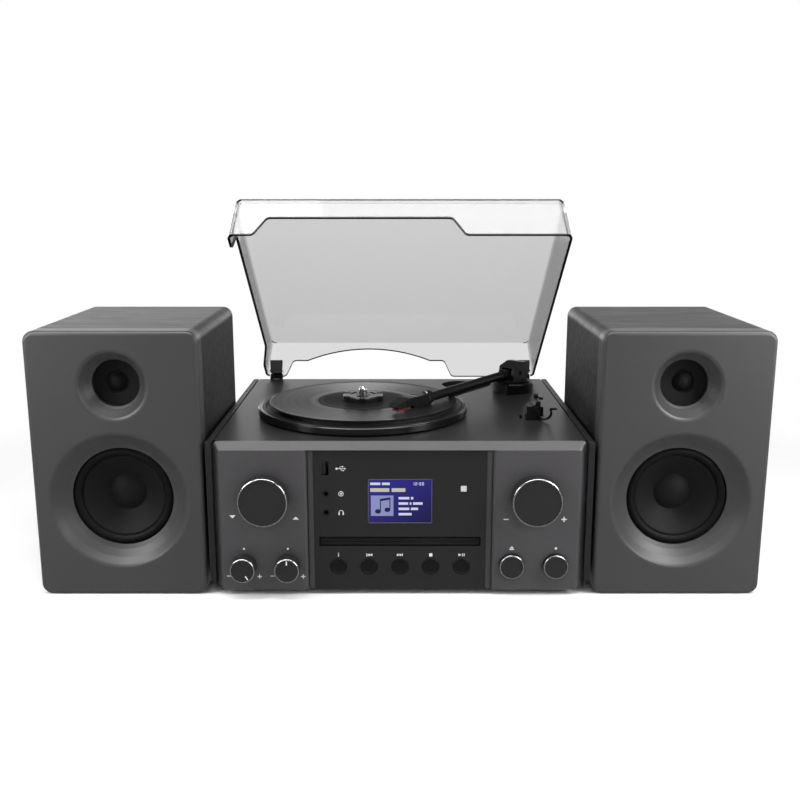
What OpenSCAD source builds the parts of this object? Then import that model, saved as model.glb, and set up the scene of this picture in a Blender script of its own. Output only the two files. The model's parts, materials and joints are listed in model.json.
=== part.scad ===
// Stereo music centre: main unit with a record player under a hinged cover, and two
// free-standing two-way speakers. Sizes are in millimetres, with +Z up and +X to the
// right as seen from the front. Inside home() the fascia's face lies at y = 0, and home()
// moves the whole to an origin at the middle of its outer box, at the base.

/* [Main unit] */
// Width over the side boards
unit_w = 324; // [312:1:340]
// Depth of the housing
unit_d = 277; // [272:1:300]
// Height of the housing without its feet
unit_h = 130; // [126:1:140]
// Height of the feet
foot_h = 4.5; // [3:0.5:8]
// Radius of the feet
foot_r = 9; // [6:0.5:12]
// Thickness of a side board
board_t = 5; // [4:0.5:7]
// Shadow groove between the deck and a side board
groove_w = 1.3; // [0.8:0.1:2]
// Wall of the tray, the rear panel and the wells
wall = 2.5; // [2:0.1:3]
// Thickness of the deck plate
deck_t = 3; // [2.5:0.1:4]
// Width of the slanted lower corners
cut_w = 11.5; // [8:0.5:14]
// Height of the slanted lower corners
cut_h = 9; // [7:0.5:12]

/* [Fascia] */
// Thickness of the fascia frame
fascia_t = 8; // [7:0.5:10]
// Depth of the bevel round the fascia frame
bevel_d = 6; // [4:0.5:6.5]
// Width of the bevel on the face
bevel_w = 7; // [5:0.5:9]
// Width of the black centre panel
panel_w = 154.6; // [150:0.2:158]
// Thickness of the centre panel
panel_t = 3.5; // [3:0.1:4]
// How far the centre panel lies behind the face
panel_back = 1.5; // [1:0.1:2]
// Width of the slanted inner edge of a wing
wing_edge = 3; // [2:0.5:4]
// Distance from the fascia to the control board
board_gap = 16; // [15:0.5:20]

/* [Controls] */
// Radius of a large knob
big_knob_r = 21; // [18:0.5:23]
// Height of a large knob
big_knob_h = 11.5; // [9:0.5:16]
// Place of the large knobs across a wing, as a share from its inner edge
big_knob_share = 0.4605; // [0.43:0.0005:0.49]
// Height of the large knobs' axes above the housing's base
big_knob_z = 81.7; // [78:0.1:88]
// Push travel of a large knob
knob_push = 1; // [0.5:0.1:1.2]
// Gap between a large knob and the face
big_knob_gap = 1.5; // [1.4:0.1:2]
// Radius of a tone knob
tone_knob_r = 10.6; // [9:0.1:12]
// Height of a tone knob
tone_knob_h = 12.5; // [9:0.5:15]
// Gap between a tone knob and the face
tone_knob_gap = 1; // [0.5:0.1:2]
// Place of the bass knob across the left wing, as a share from its inner edge
bass_share = 0.6926; // [0.68:0.0002:0.7]
// Place of the treble knob across the left wing, as a share from its inner edge
treble_share = 0.2246; // [0.22:0.0002:0.25]
// Height of the lower row on the wings above the housing's base
low_row_z = 22.1; // [21:0.1:24]
// Radius of the eject and record buttons
round_button_r = 10.6; // [9:0.1:11.5]
// How far the eject and record buttons stand out
round_button_out = 5; // [3:0.5:7]
// Place of the eject button across the right wing, as a share from its inner edge
eject_share = 0.2208; // [0.21:0.0002:0.24]
// Place of the record button across the right wing, as a share from its inner edge
record_share = 0.69; // [0.68:0.001:0.7]
// Radius of a button on the centre panel
key_r = 7.1; // [6:0.1:7.6]
// Spacing of the buttons on the centre panel
key_step = 26.2; // [22:0.1:28]
// Height of these buttons' row above the housing's base
key_z = 20.9; // [19:0.1:21.5]
// Push travel of a button
key_push = 1.2; // [0.6:0.1:1.4]
// Radius of a control's shaft
shaft_r = 3; // [2.5:0.1:3.2]
// Radial clearance of a running fit
run_fit = 0.05; // [0.03:0.01:0.08]
// Clearance round a cap in its hole
cap_fit = 0.25; // [0.15:0.05:0.4]

/* [Display and sockets] */
// Width of the display window
display_w = 54; // [48:0.5:58]
// Height of the display window
display_h = 39; // [34:0.5:42]
// Height of the display's middle above the housing's base
display_z = 78.9; // [77:0.1:82]
// Width of the disc slot's frame
slot_frame_w = 137; // [132:0.5:142]
// Height of the disc slot's frame
slot_frame_h = 8.5; // [8:0.1:10]
// Width of the disc slot
slot_w = 124; // [122:0.5:128]
// Height of the disc slot
slot_h = 5.2; // [4.8:0.1:6]
// Height of the disc slot's middle above the housing's base
slot_z = 43.15; // [42:0.05:44]
// Place of the sockets' column, left of the middle
socket_x = 62.2; // [60:0.1:64]
// Height of the USB socket above the housing's base
usb_z = 107.7; // [104:0.1:110]
// Height of the auxiliary jack above the housing's base
aux_z = 85.5; // [83:0.1:88]
// Height of the headphone jack above the housing's base
phones_z = 69; // [66:0.1:71]
// Bore radius of a 3.5 mm jack
jack_bore_r = 1.8; // [1.76:0.01:1.9]
// Outer radius of a jack's barrel
jack_r = 3; // [2.6:0.1:3.4]

/* [Record player] */
// Spindle's place, left of the middle
spindle_x = 34.8; // [32:0.1:37]
// Spindle's distance behind the fascia's face
spindle_y = 115.5; // [114:0.1:120]
// Radius of the spindle
spindle_r = 3.6; // [3.5:0.05:3.7]
// Radius of the platter
platter_r = 98; // [96:0.5:100]
// Height of the platter's rim above the deck
rim_z = 8; // [7:0.5:9]
// Radius of the record
record_r = 87.5; // [87:0.1:88]
// Thickness of the record
record_t = 1.5; // [1.2:0.1:2]
// Top of the mat above the deck
mat_z = 10.5; // [10:0.1:11]
// Radius of the centre adapter
adapter_r = 18.7; // [18.5:0.05:19]
// Height of the centre adapter
adapter_h = 6.5; // [5:0.5:8]
// Radius of the well in the deck under the platter
well_r = 88; // [86:0.5:90]
// Depth of that well
well_d = 12; // [11:0.5:14]
// Radius of the platter's belt rim
belt_rim_r = 60; // [55:0.5:62]
// Radius of the motor pulley
pulley_r = 6; // [5:0.5:7]
// Distance from the spindle to the pulley
pulley_dist = 74; // [73:0.5:76]
// Thickness of the drive belt
belt_t = 0.8; // [0.6:0.1:1]
// Place of the adapter's storage recess, right of the middle
store_x = 65; // [63:0.5:68]
// That recess's distance behind the fascia's face
store_y = 246; // [243:0.5:248]
// Depth of that recess
store_d = 5; // [4.6:0.1:6]

/* [Tone arm] */
// Arm pivot's place, right of the middle
pivot_x = 118; // [116:0.5:119]
// Arm pivot's distance behind the fascia's face
pivot_y = 215; // [214:0.5:217]
// Height of the arm's tilting axis above the deck
tilt_z = 19.6; // [18:0.1:21]
// Direction of the arm in plan, clockwise from the right
arm_turn = 128.2; // [126:0.1:130]
// Swing from the place on the record out to the rest
park_turn = 38.6; // [38:0.1:39]
// Radius of the arm's base drum
drum_r = 21; // [19:0.5:22]
// Height of the arm's base drum
drum_h = 10; // [9:0.5:11]
// Radius of the arm tube
tube_r = 4.3; // [3.8:0.1:4.6]
// Distance from the pivot to the headshell's collar
tube_l = 145; // [142:0.5:146]
// Distance from the pivot to the stylus
arm_l = 195.5; // [193:0.5:196.5]
// Radius of the lift platform's arc round the pivot
lift_arc_r = 26; // [25:0.5:28]
// Distance from the pivot to the arm rest
rest_dist = 128; // [126:0.5:130]

/* [Cover] */
// Width of the cover at its free edge
cover_w = 297; // [290:1:300]
// Height of the cover above its hinge axis
cover_h = 39.5; // [38:0.5:46]
// Wall of the cover
cover_t = 2.2; // [1.8:0.1:3]
// How far each wall leans in from the free edge to the top
cover_lean = 3.6; // [2:0.1:5]
// Angle at which the cover stands open
cover_open = 37.3; // [30:0.1:60]
// Height of the hinge axis above the deck
hinge_z = 2.5; // [2.2:0.1:4]
// Distance of the hinge axis behind the housing
hinge_back = 3.3; // [3.2:0.1:5]
// Radius of the hinge knuckles
knuckle_r = 3; // [2.5:0.1:3.1]
// Radius of the hinge pin
hinge_pin_r = 1.5; // [1.2:0.1:1.8]
// Distance of a hinge's middle from the cover's side
hinge_in = 11; // [10.5:0.5:18]

/* [Speakers] */
// Width of a speaker
spk_w = 142.5; // [136:0.5:150]
// Height of a speaker
spk_h = 227.5; // [220:0.5:240]
// Depth of a speaker
spk_d = 170.7; // [150:0.1:190]
// Gap between the unit and a speaker
spk_gap = 2.95; // [1:0.05:30]
// Front of a speaker behind the fascia's face
spk_y = 1; // [0:0.5:20]
// Radius of a cabinet's long edges
spk_edge_r = 9; // [6:0.5:12]
// Thickness of the front baffle
baffle_t = 18; // [17:0.5:20]
// Wall of the wooden cabinet
spk_wall = 9; // [8:0.5:12]
// Height of the woofer's axis
woofer_z = 83.5; // [80:0.5:86]
// Height of the tweeter's axis
tweeter_z = 182.5; // [178:0.5:186]
// Radius of the woofer's dish at the face
dish_r = 60; // [56:0.5:63]
// Radius of the baffle's woofer opening
throat_r = 43; // [40:0.5:45]
// Radius of the tweeter's dish at the face
horn_r = 30.5; // [27:0.5:33]
// Radius of the tweeter's opening
horn_throat_r = 20; // [18:0.5:22]
// Travel of a woofer cone to each side
cone_travel = 2; // [1:0.1:2.5]
// Radius of the dust cap
cap_r = 16; // [13:0.5:18]

/* [Hidden] */
$fn = 64;
eps = 0.01;

deck_z = foot_h + unit_h;
floor_z = foot_h + 3;
inner_x = unit_w / 2 - board_t;
deck_half = inner_x - groove_w;
hinge_x = cover_w / 2 - hinge_in;
spk_x = unit_w / 2 + spk_gap + spk_w / 2;
big_knob_x = wing_x(big_knob_share);
bass_x = wing_x(bass_share);
treble_x = wing_x(treble_share);
eject_x = wing_x(eject_share);
record_x = wing_x(record_share);
board_y = fascia_t + board_gap;
hinge_y = unit_d + hinge_back;
axis_z = deck_z + hinge_z;
cover_back = 1;
cover_front = hinge_y - bevel_d - 0.3;
cover_low = -1.2;
lean_in = cover_lean * (cover_h - 2 - cover_low) / (cover_h - cover_low);
front_reach = max(big_knob_gap + big_knob_h, tone_knob_gap + tone_knob_h);
rear_reach = hinge_y + cover_h * sin(cover_open)
    - (cover_back + cover_lean + 1.2) * cos(cover_open);
origin_y = (rear_reach - front_reach) / 2;

// Distance from the middle at a share of a wing's width
function wing_x(share) = panel_w / 2 + (inner_x - panel_w / 2) * share;

// Lower edge of the slanted corner at a distance x from the middle
function cut_z(x) = foot_h + max(0, x - unit_w / 2 + cut_w) * cut_h / cut_w;

// ---------- shared shapes ----------

// Puts a piece in the frame whose origin is the middle of the outer box
module home() {
    translate([0, -origin_y, 0]) children();
}

module block(x0, x1, y0, y1, z0, z1) {
    translate([x0, y0, z0]) cube([x1 - x0, y1 - y0, z1 - z0]);
}

module bar_y(x, z, r, y0, y1) {
    translate([x, y0, z]) rotate([-90, 0, 0]) cylinder(r = r, h = y1 - y0);
}

module bar_x(y, z, r, x0, x1) {
    translate([x0, y, z]) rotate([0, 90, 0]) cylinder(r = r, h = x1 - x0);
}

module bar_z(x, y, r, z0, z1) {
    translate([x, y, z0]) cylinder(r = r, h = z1 - z0);
}

// An outline in X and Z drawn out along Y
module along_y(y0, y1) {
    translate([0, y1, 0]) rotate([90, 0, 0]) linear_extrude(y1 - y0) children();
}

// A profile of radius and distance turned about an axis along Y, first point towards -Y
module turned_y(x, z) {
    translate([x, 0, z]) rotate([-90, 0, 0]) rotate_extrude() children();
}

module rounded_rect(w, h, r) {
    square([w - 2 * r, h], center = true);
    square([w, h - 2 * r], center = true);
    for (x = [-1, 1], y = [-1, 1])
        translate([x * (w / 2 - r), y * (h / 2 - r)]) circle(r = r);
}

// Outline of the housing's inside, a wall in from the tray's outside
module tray_inside() {
    slope = cut_h / cut_w;
    rise = wall * sqrt(1 + slope * slope);
    x_side = inner_x - wall;
    x_low = unit_w / 2 - cut_w + (floor_z - foot_h - rise) / slope;
    polygon([[-x_low, floor_z], [x_low, floor_z], [x_side, cut_z(x_side) + rise],
        [x_side, deck_z - deck_t], [-x_side, deck_z - deck_t], [-x_side, cut_z(x_side) + rise]]);
}

// ---------- housing ----------

module bottom_tray() color("#202022") home() {
    x_cut = unit_w / 2 - cut_w;
    difference() {
        along_y(fascia_t, unit_d)
            polygon([[-x_cut, foot_h], [x_cut, foot_h], [inner_x, cut_z(inner_x)],
                [inner_x, deck_z - deck_t], [-inner_x, deck_z - deck_t],
                [-inner_x, cut_z(inner_x)]]);
        along_y(fascia_t - 1, unit_d + 1) union() {
            tray_inside();
            translate([-inner_x + wall, deck_z - deck_t - 1]) square([2 * (inner_x - wall), 2]);
        }
    }
    for (x = pcb_posts_x, y = pcb_posts_y) bar_z(x, y, pcb_post_r, floor_z - eps, pcb_z);
    // Feet
    for (x = [-112, 112], y = [34, unit_d - 36]) bar_z(x, y, foot_r, 0, foot_h + eps);
}

pcb_z = floor_z + 8;
pcb_t = 1.6;
pcb_post_r = 3.5;
pcb_posts_x = [15 - inner_x, -84, -52, inner_x - 25];
pcb_posts_y = [unit_d - 92, unit_d - 16];

module rear_panel() color("#262628") home() {
    difference() {
        along_y(unit_d - wall, unit_d) tray_inside();
        for (i = [0:3]) bar_y(out_x + i * out_step, out_z, phono_r + 0.3, unit_d - wall - 1, unit_d + 1);
        for (i = [0:1]) bar_y(line_x + i * out_step, out_z, phono_r + 0.3, unit_d - wall - 1, unit_d + 1);
        bar_y(aerial_x, aerial_z, aerial_r + 0.1, unit_d - wall - 1, unit_d + 1);
        block(inlet_x - inlet_w / 2 - 0.1, inlet_x + inlet_w / 2 + 0.1, unit_d - wall - 1,
            unit_d + 1, inlet_z - inlet_h / 2 - 0.1, inlet_z + inlet_h / 2 + 0.1);
    }
}

module side_boards() color("#1c1c1e") home() {
    for (s = [0, 1]) mirror([s, 0, 0])
        along_y(0, unit_d)
            polygon([[inner_x, cut_z(inner_x)], [unit_w / 2, cut_z(unit_w / 2)],
                [unit_w / 2, deck_z], [inner_x, deck_z]]);
}

slider_x = 111.2;
slider_y = 94;
slider_travel = 4;
slider_slot_w = 2.6;
post_r = 1.5;
post_turn = -arm_turn + park_turn / 2;

module deck_plate() color("#3a3a3c") home() {
    floor_in = deck_z - well_d;
    difference() {
        union() {
            block(-deck_half, deck_half, fascia_t, unit_d, deck_z - deck_t, deck_z);
            bar_z(-spindle_x, spindle_y, well_r + wall, floor_in - wall, deck_z - eps);
            bar_z(store_x, store_y, adapter_r + 1.3 + wall, deck_z - store_d - wall, deck_z - eps);
        }
        bar_z(-spindle_x, spindle_y, well_r, floor_in, deck_z + 1);
        bar_z(store_x, store_y, adapter_r + 1.3, deck_z - store_d, deck_z + 1);
        bar_z(-spindle_x, spindle_y, bearing_r + 0.05, floor_in - wall - 1, floor_in + 1);
        bar_z(pulley_px, pulley_py, pulley_r + 2, floor_in - wall - 1, floor_in + 1);
        bar_z(pivot_x, pivot_y, pivot_shaft_r + 2, deck_z - deck_t - 1, deck_z + 1);
        translate([pivot_x, pivot_y, 0]) rotate(post_turn)
            bar_z(lift_arc_r, 0, post_r + run_fit, deck_z - deck_t - 1, deck_z + 1);
        block(slider_x - slider_slot_w / 2, slider_x + slider_slot_w / 2,
            slider_y - slider_travel - 2.2, slider_y + slider_travel + 2.2,
            deck_z - deck_t - 1, deck_z + 1);
    }
}

// Front outline of the fascia, drawn in by side and top distances
module fascia_outline(side, top, r) {
    half = inner_x - side;
    top_z = deck_z - top;
    x_cut = unit_w / 2 - cut_w;
    union() {
        polygon([[-x_cut, foot_h], [x_cut, foot_h], [half, cut_z(half)],
            [half, top_z - r], [half - r, top_z], [-half + r, top_z],
            [-half, top_z - r], [-half, cut_z(half)]]);
        for (s = [-1, 1]) translate([s * (half - r), top_z - r]) circle(r = r, $fn = 32);
    }
}

boss_r = 3.5;
boss_x = inner_x - 10;
boss_in = panel_w / 2 + 6.7;
boss_mid = wing_x(0.454);
boss_places = [[-boss_x, 110], [boss_x, 110], [-boss_in, 110], [boss_in, 110], [-boss_in, 48],
    [boss_in, 48], [-boss_mid, 12.6], [boss_mid, 12.6]];

module fascia_frame() color("#4a4a4c") home() {
    pocket = panel_back + panel_t;
    half = panel_w / 2;
    difference() {
        hull() {
            along_y(bevel_d, fascia_t) fascia_outline(0, 0, 5);
            along_y(0, eps) fascia_outline(bevel_w, bevel_w - 0.5, 1);
        }
        // Pocket of the centre panel with the wings' slanted inner edges
        block(-half, half, -1, pocket, 0, deck_z - bevel_w + 0.5);
        linear_extrude(deck_z - bevel_w + 0.5)
            polygon([[-half - wing_edge - 1, -1], [half + wing_edge + 1, -1], [half, wing_edge],
                [-half, wing_edge]]);
        // Openings behind the centre panel
        block(-display_w / 2 + 2, display_w / 2 - 2, pocket - 1, fascia_t + 1,
            foot_h + display_z - display_h / 2 + 2, foot_h + display_z + display_h / 2 - 2);
        block(-slot_w / 2, slot_w / 2, pocket - 1, fascia_t + 1,
            foot_h + slot_z - slot_h / 2, foot_h + slot_z + slot_h / 2);
        for (i = [-2:2])
            bar_y(i * key_step, foot_h + key_z, key_r + cap_fit, pocket - 1, fascia_t + 1);
        block(-socket_x - usb_w / 2 - 0.1, -socket_x + usb_w / 2 + 0.1, pocket - 1, fascia_t + 1,
            foot_h + usb_z - usb_h / 2 - 0.1, foot_h + usb_z + usb_h / 2 + 0.1);
        for (z = [aux_z, phones_z]) bar_y(-socket_x, foot_h + z, jack_r + 0.1, pocket - 1, fascia_t + 1);
        block(eye_x - eye_w / 2 - 0.1, eye_x + eye_w / 2 + 0.1, pocket - 1, fascia_t + 1,
            foot_h + eye_z - eye_w / 2 - 0.1, foot_h + eye_z + eye_w / 2 + 0.1);
        // Holes in the wings
        for (x = [-big_knob_x, big_knob_x])
            bar_y(x, foot_h + big_knob_z, shaft_r + 0.6, -1, fascia_t + 1);
        for (x = [-bass_x, -treble_x])
            bar_y(x, foot_h + low_row_z, shaft_r + 0.6, -1, fascia_t + 1);
        for (x = [eject_x, record_x])
            bar_y(x, foot_h + low_row_z, round_button_r + cap_fit, -1, fascia_t + 1);
    }
    for (p = boss_places) bar_y(p[0], p[1] + foot_h, boss_r, fascia_t - eps, board_y);
}

eye_x = 53.5;
eye_z = 89.9;
eye_w = 5;
usb_w = 6.2;
usb_h = 13.3;

module centre_panel() color("#1a1a1c") home() {
    half = panel_w / 2 - 0.15;
    y0 = panel_back;
    y1 = panel_back + panel_t;
    notch_w = 3.3;
    notch_h = 1.3;
    difference() {
        block(-half, half, y0, y1, foot_h, deck_z - bevel_w + 0.35);
        for (s = [-1, 1]) translate([s * (half - notch_w / 2 + 0.5), 0, foot_h])
            cube([notch_w + 1, 20, 2 * notch_h], center = true);
        block(-display_w / 2 - 0.15, display_w / 2 + 0.15, y0 - 1, y1 + 1,
            foot_h + display_z - display_h / 2 - 0.15, foot_h + display_z + display_h / 2 + 0.15);
        block(-slot_frame_w / 2, slot_frame_w / 2, y0 - 1, y0 + 1.2,
            foot_h + slot_z - slot_frame_h / 2, foot_h + slot_z + slot_frame_h / 2);
        block(-slot_w / 2, slot_w / 2, y0 - 1, y1 + 1,
            foot_h + slot_z - slot_h / 2, foot_h + slot_z + slot_h / 2);
        for (i = [-2:2]) bar_y(i * key_step, foot_h + key_z, key_r + cap_fit, y0 - 1, y1 + 1);
        block(-socket_x - usb_w / 2 - 0.1, -socket_x + usb_w / 2 + 0.1, y0 - 1, y1 + 1,
            foot_h + usb_z - usb_h / 2 - 0.1, foot_h + usb_z + usb_h / 2 + 0.1);
        for (z = [aux_z, phones_z]) bar_y(-socket_x, foot_h + z, jack_r + 0.1, y0 - 1, y1 + 1);
        block(eye_x - eye_w / 2 - 0.1, eye_x + eye_w / 2 + 0.1, y0 - 1, y1 + 1,
            foot_h + eye_z - eye_w / 2 - 0.1, foot_h + eye_z + eye_w / 2 + 0.1);
    }
}

module display_screen() color("#2b2f8f") home() {
    block(-display_w / 2, display_w / 2, panel_back + 0.2, panel_back + panel_t,
        foot_h + display_z - display_h / 2, foot_h + display_z + display_h / 2);
    block(-display_w / 2 + 2.1, display_w / 2 - 2.1, panel_back + panel_t - eps, board_y,
        foot_h + display_z - display_h / 2 + 2.1, foot_h + display_z + display_h / 2 - 2.1);
}

module remote_window() color("#d8d8d8") home() {
    block(eye_x - eye_w / 2, eye_x + eye_w / 2, panel_back + 0.1, board_y,
        foot_h + eye_z - eye_w / 2, foot_h + eye_z + eye_w / 2);
}

module usb_socket() color("#9a9a9a") home() {
    sheet = 0.5;
    tongue_t = 1.8;
    depth = 15;
    y0 = panel_back - 0.3;
    zc = foot_h + usb_z;
    difference() {
        block(-socket_x - usb_w / 2, -socket_x + usb_w / 2, y0, board_y, zc - usb_h / 2, zc + usb_h / 2);
        block(-socket_x - usb_w / 2 + sheet, -socket_x + usb_w / 2 - sheet, y0 - 1, y0 + depth,
            zc - usb_h / 2 + sheet, zc + usb_h / 2 - sheet);
    }
    block(-socket_x - usb_w / 2 + sheet + 0.6, -socket_x - usb_w / 2 + sheet + 0.6 + tongue_t,
        y0 + 2, y0 + depth + eps, zc - 5.6, zc + 5.6);
}

jack_depth = 15;

module audio_jacks() color("#151515") home() {
    y0 = panel_back - 0.3;
    for (z = [aux_z, phones_z]) difference() {
        bar_y(-socket_x, foot_h + z, jack_r, y0, board_y);
        bar_y(-socket_x, foot_h + z, jack_bore_r, y0 - 1, y0 + jack_depth);
    }
}

// ---------- inside the housing ----------

drive_w = 142;
drive_d = 160;
drive_low = 33.9;
drive_high = 63.2;

module disc_drive() color("#5a5a5c") home() {
    difference() {
        block(-drive_w / 2, drive_w / 2, fascia_t, fascia_t + drive_d, drive_low, drive_high);
        block(-slot_w / 2, slot_w / 2, fascia_t - 1, fascia_t + 126,
            foot_h + slot_z - slot_h / 2, foot_h + slot_z + slot_h / 2);
    }
    for (s = [-1, 1], y = [40, 150])
        block(s * 60 - 5, s * 60 + 5, y - 5, y + 5, floor_z, drive_low + eps);
}

module circuit_boards() color("#1f4a2c") home() {
    y0 = unit_d - 100;
    left = 7 - inner_x;
    right = inner_x - 17;
    // Amplifier board with its heat sink, capacitors and chips
    block(-60, right, y0, unit_d - 8, pcb_z, pcb_z + pcb_t);
    color("#8a8a8c") for (i = [0:4])
        block(right - 80 + i * 6, right - 78 + i * 6, y0 + 20, y0 + 70, pcb_z + pcb_t - eps, pcb_z + 32);
    color("#8a8a8c") block(right - 80, right - 54, y0 + 20, y0 + 70, pcb_z + pcb_t - eps, pcb_z + 5);
    color("#222222") for (i = [0:2])
        bar_z(right - 30, y0 + 18 + i * 24, 8, pcb_z + pcb_t - eps, pcb_z + 24);
    color("#101010") for (i = [0:1])
        block(-40 + i * 40, -18 + i * 40, y0 + 30, y0 + 52, pcb_z + pcb_t - eps, pcb_z + 4);
    // Power supply board with its transformer
    block(left, -76, y0, unit_d - 8, pcb_z, pcb_z + pcb_t);
    color("#c8b070") block(left + 14, -96, y0 + 24, y0 + 60, pcb_z + pcb_t - eps, pcb_z + 30);
    color("#222222") bar_z(-86, y0 + 20, 7, pcb_z + pcb_t - eps, pcb_z + 26);
}

barrel_r = 8;
plunger_r = 5;
switch_y = 21.6;

module control_board() color("#1f4a2c") home() {
    difference() {
        block(6 - inner_x, inner_x - 6, board_y, board_y + pcb_t, foot_h + 7, deck_z - well_d - wall - 1);
        block(-drive_w / 2 - 0.5, drive_w / 2 + 0.5, board_y - 1, board_y + pcb_t + 1,
            drive_low - 0.3, drive_high + 0.4);
    }
    // Encoder barrels behind the large knobs
    color("#8a8a8c") for (x = [-big_knob_x, big_knob_x]) difference() {
        bar_y(x, foot_h + big_knob_z, barrel_r, fascia_t + 1, board_y + eps);
        bar_y(x, foot_h + big_knob_z, plunger_r + run_fit, fascia_t, board_y - 0.6);
    }
    // Potentiometers behind the tone knobs
    color("#8a8a8c") for (x = [-bass_x, -treble_x]) difference() {
        bar_y(x, foot_h + low_row_z, barrel_r, fascia_t + 1, board_y + eps);
        bar_y(x, foot_h + low_row_z, shaft_r + run_fit, fascia_t, board_y - 1.4);
    }
    // Key switches behind the buttons
    color("#151515") for (x = [eject_x, record_x])
        block(x - 3, x + 3, switch_y, board_y + eps, foot_h + low_row_z - 3, foot_h + low_row_z + 3);
    color("#151515") for (i = [-2:2])
        block(i * key_step - 3, i * key_step + 3, switch_y, board_y + eps,
            foot_h + key_z - 3, foot_h + key_z + 3);
}

// ---------- rear ----------

phono_r = 4.15;
phono_bore_r = 1.65;
out_x = -30;
out_step = 16;
out_z = foot_h + 40;
line_x = 70;
aerial_x = -100;
aerial_z = foot_h + 96;
aerial_r = 4.75;
inlet_x = -112;
inlet_z = foot_h + 26;
inlet_w = 21;
inlet_h = 13;

// One phono socket on a plate at distance y, pointing to +Y
module phono(x, z, y) {
    difference() {
        bar_y(x, z, phono_r, y - wall - 6, y + 9);
        bar_y(x, z, phono_r - 0.7, y + 8.6, y + 10);
        bar_y(x, z, phono_bore_r, y + 0.5, y + 10);
    }
}

module phono_row(x, z, count, y) {
    difference() {
        block(x - 10, x + (count - 1) * out_step + 10, y, y + 1.5, z - 9, z + 9);
        for (i = [0:count - 1]) bar_y(x + i * out_step, z, phono_r - eps, y - 1, y + 3);
    }
    for (i = [0:count - 1]) phono(x + i * out_step, z, y);
}

module rear_sockets() color("#202020") home() {
    // Speaker outputs and line outputs
    phono_row(out_x, out_z, 4, unit_d);
    phono_row(line_x, out_z, 2, unit_d);
    // Aerial socket with its nut
    difference() {
        union() {
            bar_y(aerial_x, aerial_z, aerial_r, unit_d - 8, unit_d + 10);
            translate([aerial_x, unit_d, aerial_z]) rotate([-90, 0, 0])
                cylinder(r = 6.4, h = 2.5, $fn = 6);
        }
        bar_y(aerial_x, aerial_z, 0.8, unit_d + 2, unit_d + 11);
    }
}

module power_inlet() color("#151515") home() {
    depth = 12;
    difference() {
        union() {
            block(inlet_x - inlet_w / 2, inlet_x + inlet_w / 2, unit_d - 16, unit_d + eps,
                inlet_z - inlet_h / 2, inlet_z + inlet_h / 2);
            block(inlet_x - inlet_w / 2 - 2, inlet_x + inlet_w / 2 + 2, unit_d, unit_d + 1.5,
                inlet_z - inlet_h / 2 - 2, inlet_z + inlet_h / 2 + 2);
        }
        along_y(unit_d + 1.5 - depth, unit_d + 3) translate([inlet_x, inlet_z]) {
            for (s = [-1, 1]) translate([s * 4.2, 0]) circle(r = 4.3);
            square([8.4, 8.6], center = true);
        }
    }
    for (s = [-1, 1])
        color("#b0b0b0") bar_y(inlet_x + s * 4.3, inlet_z, 1.1, unit_d + 1.5 - depth - eps, unit_d - 0.5);
}

module hinge_brackets() color("#101012") home() {
    ear_w = 3;
    ear_in = 3.5;
    for (s = [0, 1]) mirror([s, 0, 0]) {
        block(hinge_x - ear_in - ear_w, hinge_x + ear_in + ear_w, unit_d, unit_d + 2.2,
            deck_z - 24, deck_z - 3);
        for (x = [hinge_x - ear_in - ear_w, hinge_x + ear_in]) {
            block(x, x + ear_w, unit_d + 0.2, hinge_y + knuckle_r - 0.1, deck_z - 9, axis_z);
            bar_x(hinge_y, axis_z, knuckle_r, x, x + ear_w);
        }
        bar_x(hinge_y, axis_z, hinge_pin_r, hinge_x - ear_in - ear_w / 2, hinge_x + ear_in + ear_w / 2);
    }
}

// ---------- cover ----------

// Moves a piece drawn closed, with the hinge axis at the origin, to the open cover
module on_cover() {
    translate([0, hinge_y, axis_z]) rotate([-cover_open, 0, 0]) children();
}

// One layer of the cover's form: t above the axis, walls drawn in by lean
module cover_layer(t, lean, r) {
    half = cover_w / 2 - lean;
    for (x = [-half + r, half - r], y = [-cover_front + lean + r, -cover_back - lean - r])
        translate([x, y, t]) cylinder(r = r, h = eps, $fn = 32);
}

// Cut-out of a wall's free edge with flowing shoulders
module edge_cut(low_half, high_half, high, r) {
    offset(r = r, $fn = 32) offset(r = -2 * r, $fn = 32) offset(r = r, $fn = 32) union() {
        polygon([[-low_half, cover_low - 1], [low_half, cover_low - 1], [high_half, high],
            [-high_half, high]]);
        translate([-low_half - 60, cover_low - 40]) square([2 * low_half + 120, 40]);
    }
}

cut_high = 17.6;
cut_half = 92;
arch_r = 174;
arch_high = 31.5;
side_cut_mid = cover_front / 2 + 4;
side_cut_half = cover_front / 2 - 25;

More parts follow.
